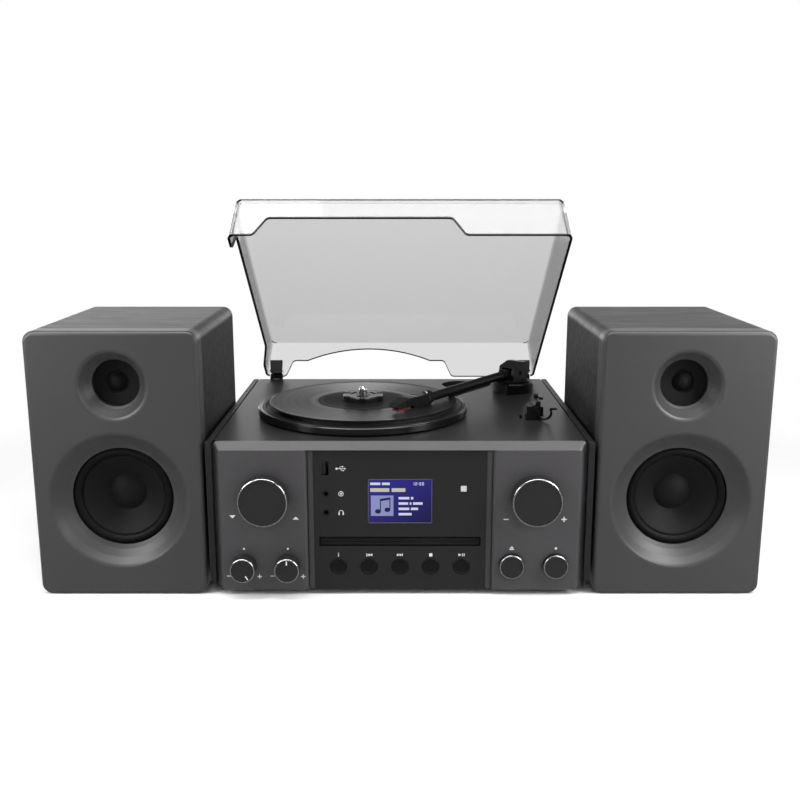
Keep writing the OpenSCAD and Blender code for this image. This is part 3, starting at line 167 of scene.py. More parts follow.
def start_finish(name, colour, roughness, ior=None, specular=None, **sockets):
    """New material with one Principled shader. Gives the material, tree, shader and place."""
    for socket, value in (("IOR", ior), ("Specular IOR Level", specular)):
        if value is not None:
            sockets[socket] = value
    material = bpy.data.materials.new(name)
    material.use_nodes = True
    tree = material.node_tree
    tree.nodes.clear()
    shader = add(tree, "BsdfPrincipled",
                 {"Base Color": rgba(colour), "Roughness": roughness, **sockets})
    add(tree, "OutputMaterial", {"Surface": shader.outputs["BSDF"]})
    return material, tree, shader, add(tree, "TexCoord").outputs["Object"]


def lay(tree, shader, colour, roughness):
    """Lets a colour and a roughness socket drive the shader."""
    tree.links.new(colour, shader.inputs["Base Color"])
    tree.links.new(roughness, shader.inputs["Roughness"])


def noise(tree, place, size, detail=2.0, stretch=(1, 1, 1)):
    """Noise whose lumps are about size metres wide, stretched along the axes."""
    scaled = add(tree, "Mapping", {"Vector": place, "Scale": stretch}).outputs["Vector"]
    return add(tree, "TexNoise", {"Vector": scaled, "Scale": 1 / size, "Detail": detail}
               ).outputs["Fac"]


def spread(tree, value, low, high, from_low=0.3, from_high=0.7):
    """Value spread from its usual range to low and high."""
    return add(tree, "MapRange", {"Value": value, "From Min": from_low, "From Max": from_high,
                                  "To Min": low, "To Max": high}).outputs["Result"]


def calc(tree, operation, first, second=0.0):
    """Result of one sum on two values or sockets."""
    return add(tree, "Math", {0: first, 1: second}, operation=operation).outputs["Value"]


def mixed(tree, share, first, second):
    """Mixes two values by a share."""
    return add(tree, "Mix", {"Factor": share, 2: first, 3: second}, data_type="FLOAT").outputs[0]


def blend(tree, share, first, second):
    """Mixes two colours, given as colours or sockets, by a share."""
    first, second = (value if isinstance(value, bpy.types.NodeSocket) else rgba(value)
                     for value in (first, second))
    return add(tree, "Mix", {"Factor": share, 6: first, 7: second}, data_type="RGBA").outputs[2]


def mix_shaders(tree, share, first, second):
    """Shows the first shader where the share is 0 and the second where it is 1."""
    return add(tree, "MixShader", {0: share, 1: first, 2: second}).outputs["Shader"]


def white_light(tree, kind, strength):
    """White emission or background of a strength."""
    return add(tree, kind, {"Color": (1, 1, 1, 1), "Strength": strength}).outputs[0]


def shade(colour, factor):
    """Colour made lighter or darker by a factor."""
    return tuple(min(1.0, c * factor) for c in colour)


def relief(tree, shader, height, depth, edge=0.0):
    """Bump of a real depth from a height, with edges rounded by a real radius."""
    inputs = {"Height": height, "Distance": depth, "Strength": 1.0}
    if edge:
        inputs["Normal"] = add(tree, "Bevel", {"Radius": edge}, samples=4).outputs["Normal"]
    tree.links.new(add(tree, "Bump", inputs).outputs["Normal"], shader.inputs["Normal"])


def radius_from(tree, place, centre, axis):
    """Distance from an axis through centre; axis is the index of the direction it runs in."""
    flat = tuple(0 if i == axis else 1 for i in range(3))
    away = add(tree, "VectorMath", {0: place, 1: tuple(centre)}, operation="SUBTRACT")
    away = add(tree, "VectorMath", {0: away.outputs["Vector"], 1: flat}, operation="MULTIPLY")
    return add(tree, "VectorMath", {0: away.outputs["Vector"]}, operation="LENGTH"
               ).outputs["Value"]


def waves(tree, value, pitch):
    """Rising and falling height from 0 to 1 with a pitch in metres."""
    turn = calc(tree, "MULTIPLY", value, 2 * math.pi / pitch)
    return spread(tree, calc(tree, "SINE", turn), 0, 1, -1, 1)


def between(tree, value, low, high, soft=0.0002):
    """1 where a value lies between low and high, else 0, with soft ends."""
    rise = spread(tree, value, 0, 1, low - soft, low + soft)
    fall = spread(tree, value, 1, 0, high - soft, high + soft)
    return calc(tree, "MULTIPLY", rise, fall)


# ---------- finishes ----------

def grained(name, colour, roughness, grit, depth, tone=0.12, uneven=0.06, edge=0.0, cloud=0.05,
            **sockets):
    """Finish with grit of a real size: its tone, roughness and relief all follow the grit."""
    material, tree, shader, place = start_finish(name, colour, roughness, **sockets)
    fine = noise(tree, place, grit)
    both = calc(tree, "ADD", fine, noise(tree, place, cloud, 1.0))
    lay(tree, shader, blend(tree, spread(tree, both, 0, 1, 0.7, 1.3), shade(colour, 1 - tone),
                            shade(colour, 1 + tone)),
        spread(tree, fine, roughness - uneven, roughness + uneven))
    relief(tree, shader, fine, depth, edge)
    return material


def satin_abs(name, colour, roughness=0.42, specular=0.4):
    """ABS moulded against a spark-eroded tool: an even satin with a fine 0.5 mm grit."""
    return grained(name, colour, roughness, mm(0.5), mm(0.008), 0.06, 0.05, mm(0.35),
                   ior=1.54, specular=specular)


def deck_foil(colour):
    """Fibreboard under printed satin foil: broad soft shading and a faint 0.7 mm grain."""
    return grained("satin_foil_on_fibreboard", colour, 0.4, mm(0.7), mm(0.006), 0.08, 0.05,
                   mm(0.5), 0.07, ior=1.5, specular=0.28)


def leather_grain_vinyl(colour):
    """Vinyl pressed with leather grain: small cells 0.9 mm wide with shiny tops. Its colour is
    painted darker in the creases and lighter on the tops: painted shade and painted light.
    """
    material, tree, shader, place = start_finish("pressed_vinyl_wrap", colour, 0.5, 1.5)
    cells = add(tree, "TexVoronoi", {"Vector": place, "Scale": 1 / mm(0.9)},
                feature="DISTANCE_TO_EDGE").outputs["Distance"]
    hill = spread(tree, cells, 0, 1, 0, 0.25)
    # Painted shade in the creases between the cells and painted light on their tops.
    lay(tree, shader, blend(tree, hill, shade(colour, 0.6), shade(colour, 1.35)),
        spread(tree, hill, 0.62, 0.4, 0, 1))
    relief(tree, shader, hill, mm(0.04), mm(0.5))
    return material


def black_ash_foil(colour):
    """Chipboard under black ash foil: long dark pores 1.6 mm apart that run from side to side
    in wavy bands, with a low sheen on the wood between them."""
    material, tree, shader, place = start_finish("black_ash_foil", colour, 0.42, 1.5, 0.4)
    broad = noise(tree, place, mm(26), 2.0, (0.25, 1, 1))
    bent = add(tree, "TexNoise", {"Vector": place, "Scale": 1 / mm(60), "Detail": 1.0})
    wavy = add(tree, "Mix", {"Factor": 0.012, 4: place, 5: bent.outputs["Color"]},
               data_type="VECTOR").outputs[1]
    bands = noise(tree, wavy, mm(7), 3.0, (0.05, 1, 1))
    pores = noise(tree, wavy, mm(1.6), 4.0, (0.03, 1, 1))
    grain = calc(tree, "ADD", spread(tree, bands, 0, 0.6), spread(tree, pores, 0, 0.6))
    grain = spread(tree, grain, 0, 1, 0.25, 0.95)
    tone = blend(tree, spread(tree, broad, 0, 1), shade(colour, 0.85), shade(colour, 1.2))
    lay(tree, shader, blend(tree, grain, shade(colour, 0.7), tone),
        spread(tree, grain, 0.5, 0.4, 0, 1))
    relief(tree, shader, grain, mm(0.02), mm(0.4))
    return material


def sprayed_baffle(colour):
    """Fibreboard sprayed satin anthracite: soft glow on the rounded edges, faint 0.8 mm spray."""
    return grained("sprayed_satin_lacquer", colour, 0.42, mm(0.8), mm(0.002), 0.02, 0.03, 0.0,
                   0.06, ior=1.5, specular=0.6)


def powder_coat(name, colour):
    """Sheet steel with powder coat: orange-peel lumps of 1.2 mm with a dull shine."""
    return grained(name, colour, 0.5, mm(1.2), mm(0.02), 0.1, 0.08, mm(0.3), ior=1.5)


def soft_rubber(name, colour, roughness=0.6):
    """Moulded rubber: dull, with a dusty 0.6 mm mottle."""
    return grained(name, colour, roughness, mm(0.6), mm(0.01), 0.18, 0.08, 0.0, 0.02,
                   ior=1.52, specular=0.2)


def turned_face(name, colour, centre, roughness=0.34):
    """ABS knob with a face of fine rings 0.7 mm apart, as from a turned mould."""
    material, tree, shader, place = start_finish(name, colour, roughness, 1.54, 0.22)
    rings = waves(tree, radius_from(tree, place, centre, 1), mm(0.7))
    speck = noise(tree, place, mm(0.6))
    lay(tree, shader, blend(tree, speck, shade(colour, 0.9), shade(colour, 1.12)),
        spread(tree, speck, roughness - 0.04, roughness + 0.06))
    relief(tree, shader, rings, mm(0.004), mm(0.3))
    return material


def plated(name, colour, roughness):
    """Plated or polished metal: hairlines 0.4 mm apart break its shine."""
    material, tree, shader, place = start_finish(name, colour, roughness, Metallic=1.0)
    hair = noise(tree, place, mm(0.4), 3.0, (1, 0.05, 1))
    lay(tree, shader, blend(tree, hair, shade(colour, 0.92), colour),
        spread(tree, hair, roughness * 0.6, roughness * 1.6))
    relief(tree, shader, hair, mm(0.0002))
    return material


def printed_ink(name, colour):
    """Screen-printed ink: matt, a little thin in places at 0.4 mm."""
    return grained(name, colour, 0.6, mm(0.4), mm(0.003), 0.08, 0.05)


def gloss_panel(colour):
    """ABS moulded against a fine-stoned tool: dark semi-gloss with a faint 0.6 mm grit."""
    return grained("polished_black_abs", colour, 0.3, mm(0.6), mm(0.002), 0.03, 0.02, mm(0.3),
                   ior=1.54, specular=0.18)


def lit_display(left_top, right_low, low, high):
    """Colour liquid crystal behind glass: a blue glow that darkens to the lower right, with
    the fine upright lines of its dots, drawn 0.5 mm apart so that they show."""
    material, tree, shader, place = start_finish("lit_colour_display", linear("#08080c"), 0.12,
                                                 1.5, **{"Emission Strength": 1.0})
    parts = add(tree, "SeparateXYZ", {"Vector": place}).outputs
    across = spread(tree, parts["X"], 0, 0.5, low.x, high.x)
    down = spread(tree, parts["Z"], 0.5, 0, low.z, high.z)
    way = calc(tree, "ADD", across, down)
    glow = blend(tree, spread(tree, way, 0, 1, 0.2, 1), left_top, right_low)
    lines = spread(tree, waves(tree, parts["X"], mm(0.5)), 0, 0.18, 0, 1)
    dotted = blend(tree, lines, glow, (0, 0, 0))
    on_face = calc(tree, "LESS_THAN", parts["Y"], low.y + mm(0.1))
    tree.links.new(blend(tree, on_face, (0, 0, 0), dotted), shader.inputs["Emission Color"])
    return material


def lit_print(name, code, strength=0.9):
    """Lit part of the display's picture: an even glow of one colour over dark glass."""
    return start_finish(name, linear("#0a0a0a"), 0.3, **{"Emission Color": rgba(linear(code)),
                                                         "Emission Strength": strength})[0]


def pressed_record(colour, label, ring, centre):
    """Pressed vinyl: fine grooves turn the light into two soft fans. The grooves are drawn
    0.8 mm apart, because real ones of 0.1 mm don't show. Smooth bands part the tracks, and a
    matt paper label with one thin printed ring covers the middle."""
    material, tree, shader, place = start_finish("pressed_black_vinyl", colour, 0.3, 1.54, 0.13,
                                                 Anisotropic=0.7)
    radius = radius_from(tree, place, centre, 2)
    bands = between(tree, radius, mm(44.5), mm(50))
    for gap in (58, 66.5, 74, 84.6):
        bands = calc(tree, "MAXIMUM", bands, between(tree, radius, mm(gap), mm(gap + 0.9)))
    paper = between(tree, radius, -1.0, mm(42))
    printed = between(tree, radius, mm(38.6), mm(39.1))
    dust = noise(tree, place, mm(3), 3.0)
    vinyl = blend(tree, dust, shade(colour, 0.85), shade(colour, 1.15))
    vinyl = blend(tree, bands, vinyl, shade(colour, 0.8))
    sheet = blend(tree, dust, shade(label, 0.92), shade(label, 1.08))
    sheet = blend(tree, printed, sheet, ring)
    lay(tree, shader, blend(tree, paper, vinyl, sheet),
        mixed(tree, paper, spread(tree, bands, 0.34, 0.28, 0, 1), 0.55))
    smooth = calc(tree, "MAXIMUM", bands, paper)
    relief(tree, shader, mixed(tree, smooth, waves(tree, radius, mm(0.8)), 0.5), mm(0.004))
    tangent = add(tree, "Tangent", direction_type="RADIAL", axis="Z")
    tree.links.new(tangent.outputs["Tangent"], shader.inputs["Tangent"])
    return material


def ribbed_mat(colour, rim, centre, edge_at):
    """Black coated aluminium platter with a rubber mat of rings 2 mm apart, and a smoother
    rim outside edge_at. The rim's colour, darker than the mat's, also covers the platter's
    side: partly its black coat, partly painted shade on that side."""
    material, tree, shader, place = start_finish("rubber_mat_on_coated_platter", colour, 0.5,
                                                 1.5)
    radius = radius_from(tree, place, centre, 2)
    outer = spread(tree, radius, 0, 1, edge_at - mm(0.2), edge_at + mm(0.2))
    rubber = blend(tree, noise(tree, place, mm(0.8)), shade(colour, 0.85), shade(colour, 1.2))
    # The rim colour is partly the black coat and partly painted shade for the platter's side.
    lay(tree, shader, blend(tree, outer, rubber, rim), spread(tree, outer, 0.58, 0.22, 0, 1))
    relief(tree, shader, mixed(tree, outer, waves(tree, radius, mm(2)), 0.5), mm(0.1), mm(0.7))
    return material


def pulp_cone(colour, centre):
    """Pressed paper pulp: matt black with faint rings 3 mm apart and 0.7 mm fibres."""
    material, tree, shader, place = start_finish("pressed_paper_cone", colour, 0.62, 1.45, 0.25)
    rings = waves(tree, radius_from(tree, place, centre, 1), mm(3))
    fibre = noise(tree, place, mm(0.7), 3.0)
    lay(tree, shader, blend(tree, fibre, shade(colour, 0.8), shade(colour, 1.3)),
        spread(tree, fibre, 0.52, 0.72))
    relief(tree, shader, calc(tree, "ADD", spread(tree, rings, 0, 0.7, 0, 1),
                              spread(tree, fibre, 0, 0.3)), mm(0.05))
    return material


def woven_silk(name, colour):
    """Coated silk dome: a weave with threads drawn 0.6 mm apart under a dull coat. Its colour is
    painted lighter on the raised spots and darker in the hollows: painted light and shade.
    """
    material, tree, shader, place = start_finish(name, colour, 0.5, 1.45, 0.3)
    parts = add(tree, "SeparateXYZ", {"Vector": place}).outputs
    weave = calc(tree, "MULTIPLY", waves(tree, parts["X"], mm(0.6)),
                 waves(tree, parts["Z"], mm(0.6)))
    # Painted light on the weave's raised spots and painted shade in its hollows.
    lay(tree, shader, blend(tree, weave, shade(colour, 0.7), shade(colour, 1.5)),
        spread(tree, weave, 0.6, 0.42, 0, 1))
    relief(tree, shader, weave, mm(0.02))
    return material


def circuit_board(name, mask, track):
    """Glass-epoxy board: green solder mask over copper tracks in cells 5 mm wide."""
    material, tree, shader, place = start_finish(name, mask, 0.3, 1.55)
    cells = add(tree, "TexVoronoi", {"Vector": place, "Scale": 1 / mm(5)},
                feature="F1", distance="MANHATTAN").outputs["Distance"]
    paths = spread(tree, waves(tree, cells, 0.35), 0, 1, 0.55, 0.6)
    lay(tree, shader, blend(tree, paths, mask, track), spread(tree, paths, 0.34, 0.26, 0, 1))
    relief(tree, shader, paths, mm(0.03), mm(0.3))
    return material


def smoked_acrylic(colour, thin, thick):
    """Moulded smoked acrylic: grey see-through walls that darken and mirror more at a slant,
    with very faint 60 mm clouds. See-through thins the shine too, so its coat is stronger than
    the real surface."""
    material, tree, shader, place = start_finish(
        "smoked_acrylic", colour, 0.04, 1.49,
        **{"Coat Weight": 1.0, "Coat IOR": 2.6, "Coat Roughness": 0.03})
    bend = add(tree, "Bevel", {"Radius": mm(1.5)}, samples=8).outputs["Normal"]
    slant = add(tree, "LayerWeight", {"Blend": 0.5, "Normal": bend}).outputs["Facing"]
    cloud = noise(tree, place, mm(60), 1.0)
    tree.links.new(spread(tree, calc(tree, "POWER", slant, 2.6), thin, thick, 0, 1),
                   shader.inputs["Alpha"])
    lay(tree, shader, blend(tree, cloud, shade(colour, 0.95), shade(colour, 1.05)),
        spread(tree, cloud, 0.03, 0.06))
    return material


# ---------- mesh building ----------

def piece(name, mesh_data, finish, body):
    """Makes an object from built mesh data, smooth but for its sharp edges, gives it its finish
    and lets it ride on a body."""
    bmesh.ops.recalc_face_normals(mesh_data, faces=mesh_data.faces)
    for face in mesh_data.faces:
        face.smooth = True
    for edge in mesh_data.edges:
        edge.smooth = edge.calc_face_angle(0.0) < SHARP_ANGLE
    data = bpy.data.meshes.new(name)
    mesh_data.to_mesh(data)
    mesh_data.free()
    made = bpy.data.objects.new(name, data)
    bpy.context.scene.collection.objects.link(made)
    data.materials.append(finish)
    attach(made, body)
    return made


def turn_profile(mesh_data, profile, centre, axis, steps=72):
    """Turns a closed profile of (radius, along) about an axis through centre, given as a letter
    or a direction. Points on the axis become one point."""
    rows = []
    way = WAYS[axis] if isinstance(axis, str) else axis
    side = way.orthogonal().normalized()
    for radius, along in profile:
        if radius < 1e-9:
            rows.append([mesh_data.verts.new(centre + way * along)])
            continue
        row = []
        for i in range(steps):
            out = Matrix.Rotation(2 * math.pi * i / steps, 3, way) @ side
            row.append(mesh_data.verts.new(centre + way * along + out * radius))
        rows.append(row)
    for i, row in enumerate(rows):
        following = rows[(i + 1) % len(rows)]
        if len(row) == 1 and len(following) == 1:
            continue
        for k in range(steps):
            n = (k + 1) % steps
            corners = [row[k % len(row)], row[n % len(row)],
                       following[n % len(following)], following[k % len(following)]]
            corners = list(dict.fromkeys(corners))
            if len(corners) > 2:
                mesh_data.faces.new(corners)


def turned(name, profile, centre, axis, finish, body, steps=72):
    """Turned piece from one closed profile in metres."""
    mesh_data = bmesh.new()
    turn_profile(mesh_data, profile, centre, axis, steps)
    return piece(name, mesh_data, finish, body)


def skin(mesh_data, rows):
    """Closes the skin over rows of points: both ends, and the strips from row to row."""
    mesh_data.faces.new(rows[0][::-1])
    mesh_data.faces.new(rows[-1])
    for low, high in zip(rows, rows[1:]):
        for k in range(len(low)):
            n = (k + 1) % len(low)
            mesh_data.faces.new([low[k], low[n], high[n], high[k]])


def raise_outline(mesh_data, outline, origin, across, up, depth, chamfer=0.0):
    """Plate from a flat outline; depth runs along across x up, and its top edge is chamfered."""
    normal = across.cross(up).normalized()
    middle_x = sum(p[0] for p in outline) / len(outline)
    middle_y = sum(p[1] for p in outline) / len(outline)
    reach = max(math.hypot(p[0] - middle_x, p[1] - middle_y) for p in outline)
    levels = [(0, 1), (depth, 1)]
    if chamfer:
        levels = [(0, 1), (depth - chamfer, 1), (depth, 1 - chamfer / reach)]
    skin(mesh_data, [[mesh_data.verts.new(
        origin + across * (middle_x + (p[0] - middle_x) * scale)
        + up * (middle_y + (p[1] - middle_y) * scale) + normal * along) for p in outline]
        for along, scale in levels])


def marks(name, outlines, origin, finish, body, depth, sunk=mm(0.05), chamfer=0.0):
    """Flat marks on a face that looks to the front, from outlines in millimetres. They start
    sunk behind origin and stand out by depth, which is below 0 where they end behind it."""
    mesh_data = bmesh.new()
    for outline in outlines:
        raise_outline(mesh_data, mms(*outline), origin + WAYS["Y"] * sunk, WAYS["X"],
                      WAYS["Z"], depth + sunk, chamfer)
    return piece(name, mesh_data, finish, body)


def box_outline(x0, x1, z0, z1):
    """Four corners of an upright rectangle."""
    return [(x0, z0), (x1, z0), (x1, z1), (x0, z1)]


def border(half_x, half_z, side, top, reach):
    """Four bars round a rectangle; those at the sides reach this far up and down."""
    return [box_outline(-half_x, half_x, half_z - top, half_z),
            box_outline(-half_x, half_x, -half_z, -half_z + top),
            box_outline(-half_x, -half_x + side, -reach, reach),
            box_outline(half_x - side, half_x, -reach, reach)]


def round_outline(x, z, radius, steps=24, squash=1.0):
    """Round outline about a point."""
    return [(x + radius * math.cos(2 * math.pi * i / steps),
             z + radius * squash * math.sin(2 * math.pi * i / steps)) for i in range(steps)]


def ring_outline(outer, inner, end, steps=28):
    """Open ring or arc as one outline, from the right round to an end in degrees."""
    angles = [math.radians(end * i / steps) for i in range(steps + 1)]
    return ([(outer * math.cos(a), outer * math.sin(a)) for a in angles]
            + [(inner * math.cos(a), inner * math.sin(a)) for a in reversed(angles)])


def dress(finish, *nodes):
    """Gives CAD nodes their finish."""
    for made in (NODES[node] for node in nodes):
        if not made.material_slots:
            made.data.materials.append(finish)
        for place in made.material_slots:
            place.material = finish


# ---------- settings ----------

def paint_setting(name, description, code):
    """Colour setting that starts at an sRGB hex value."""
    return FloatVectorProperty(name=name, description=description, subtype="COLOR", size=3,
                               min=0, max=1, default=linear(code))


def length_setting(name, description, low, high, start):
    """Length setting in metres."""
    return FloatProperty(name=name, description=description, unit="LENGTH", min=low, max=high,
                         default=start)


class MusicCentreColours(bpy.types.PropertyGroup):
    """Colours of the finishes."""

    fascia: paint_setting("Fascia", "Satin ABS around the controls", "#464446")
    panel: paint_setting("Centre panel", "Semi-gloss ABS behind display and keys", "#272627")
    deck: paint_setting("Deck", "Satin foil on the top board", "#2a2a2b")
    side: paint_setting("Side boards", "Pressed vinyl wrap", "#1b1b1c")
    knob: paint_setting("Knobs", "ABS of knobs and round buttons", "#282829")
    # The flush keys are darker than the panel partly by their own ABS and partly as painted shade,
    # standing for a shallow recess they don't have.
    key: paint_setting("Flush keys", "ABS of the five flush keys", "#121213")
    ink: paint_setting("Printed marks", "Ink of the symbols", "#d4d4d4")
    display_light: paint_setting("Display, upper left", "Lit blue of the display", "#2c2888")
    display_dark: paint_setting("Display, lower right", "Darker blue of the display", "#15113f")
    cabinet: paint_setting("Cabinets", "Black ash foil on the speakers", "#0b0b0b")
    baffle: paint_setting("Baffles", "Satin lacquer on the speakers' fronts", "#3b3b3c")
    cone: paint_setting("Cones", "Paper pulp of the woofer cones", "#151515")
    record: paint_setting("Record", "Pressed vinyl", "#202021")
    platter: paint_setting("Platter", "Rubber mat and coated platter", "#1b1b1c")
    arm: paint_setting("Tone arm", "Black satin of the tone arm's parts", "#141415")
    stylus: paint_setting("Stylus holder", "Dark red styrene under the head", "#7d3b3c")
    cover: paint_setting("Cover", "Smoked acrylic", "#4a4a4b")
    black: paint_setting("Black parts", "Black ABS of sockets, hinges and small parts",
                         "#161617")


class MusicCentreSizes(bpy.types.PropertyGroup):
    """Sizes of the small parts."""

    ring_width: length_setting("Knob ring", "Width of the chrome ring on a large knob",
                               0.0003, 0.003, 0.0013)
    button_ring: length_setting("Button ring", "Width of the chrome ring on small controls",
                                0.0003, 0.002, 0.0011)
    mark_depth: length_setting("Mark depth", "How far the printed marks stand out",
                               0.00002, 0.0005, 0.0001)
    screw_radius: length_setting("Screw radius", "Radius of the rear panel's screw heads",
                                 0.001, 0.005, 0.0026)
    edge_line: length_setting("Cover edge", "Depth of the dark line under the cover's cut edges",
                              0.0001, 0.002, 0.0009)


def sizes():
    """Size settings of the scene."""
    return bpy.context.scene.music_centre_sizes


def paint(name):
    """One colour of the scene's settings."""
    return tuple(getattr(bpy.context.scene.music_centre_colours, name))


def shared(name, make, *values):
    """Finish made once and found again by its name."""
    return bpy.data.materials.get(name) or make(name, *values)


def black_abs():
    """Black ABS that several parts share."""
    return shared("satin_black_abs", satin_abs, paint("black"))


def chrome():
    """Chrome plating that the rings share."""
    return shared("bright_chrome_plating", plated, linear("#e6e6e8"), 0.2)


def steel():
    """Zinc-plated steel of screws and hidden parts."""
    return shared("zinc_plated_steel", plated, linear("#a9abad"), 0.3)


def gold():
    """Gold flash on electrical contacts."""
    return shared("gold_flashed_contacts", plated, linear("#c9a45c"), 0.2)


def ink():
    """Printed white marks."""
    return shared("screen_printed_ink", printed_ink, paint("ink"))


# ---------- operators ----------

class MUSICCENTRE_OT_housing(bpy.types.Operator):
    """Dresses the housing and adds its screws and rubber feet"""

    bl_idname = "music_centre.housing"
    bl_label = "Housing"

    def execute(self, context):
        dress(satin_abs("satin_anthracite_abs", paint("fascia"), 0.4, 0.5), "fascia_frame")
        dress(deck_foil(paint("deck")), "deck_plate")
        dress(leather_grain_vinyl(paint("side")), "side_boards")
        dress(satin_abs("spark_eroded_abs", linear("#1a1a1b"), 0.55, 0.3), "bottom_tray")
        dress(powder_coat("powder_coated_steel", linear("#1e1e1f")), "rear_panel")
        dress(black_abs(), "hinge_brackets")
        self.rear_screws()
        self.hinge_fittings()
        self.foot_pads()
        return {"FINISHED"}

    def rear_screws(self):
        """Eight pan head screws with a round recess in the rear panel."""
        low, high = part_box("rear_panel")
        head = [(sizes().screw_radius * out, sizes().screw_radius * along) for out, along in (
            (0, 0), (0.35, 0), (0.35, 0.42), (0.8, 0.4), (1, 0.12), (1, 0), (1, -0.1), (0, -0.1))]
        heads = bmesh.new()
        for x in (low.x + mm(7), -mm(40), mm(44), high.x - mm(7)):
            for z in (low.z + mm(7), high.z - mm(10)):
                turn_profile(heads, head, Vector((x, high.y, z)), "Y", 24)
        piece("rear_screws", heads, steel(), "unit")

    def hinge_fittings(self):
        """Bright caps on the ends of the hinge pins, and two screws in each bracket."""
        hinge = joint("cover_hinge")["pos_m"]
        low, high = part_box("hinge_brackets")
        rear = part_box("rear_panel")[1].y
        cap = mms((0, -0.3), (1.9, -0.3), (1.9, 0.3), (1.5, 0.8), (0, 1.0))
        head = mms((0, 0), (2.0, 0), (1.8, 0.7), (0.9, 1.1), (0.7, 0.6), (0, 0.6))
        caps = bmesh.new()
        for side in (-1, 1):
            at = Vector((side * (high.x - mm(13.1)), hinge[1], hinge[2]))
            turn_profile(caps, cap, at, WAYS["X"] * -side, 24)
            for x in (-mm(3.4), mm(3.4)):
                at = Vector((side * (high.x - mm(6.5)) + x, rear + mm(2.15), low.z + mm(5)))
                turn_profile(caps, head, at, "Y", 24)
        piece("hinge_pin_caps", caps, steel(), "unit")

    def foot_pads(self):
        """Rubber pads under the four feet."""
        low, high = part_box("bottom_tray")
        pad = mms((10.2, 0.0), (11.6, 0.5), (12.0, 1.6), (11.6, 2.6), (10.2, 3.0))
        pads = bmesh.new()
        for x in (-mm(112), mm(112)):
            for y in (low.y + mm(34), high.y - mm(34)):
                turn_profile(pads, pad, Vector((x, y, 0)), "Z", 48)
        piece("rubber_foot_pads", pads, soft_rubber("moulded_foot_rubber", linear("#131313")),
              "unit")


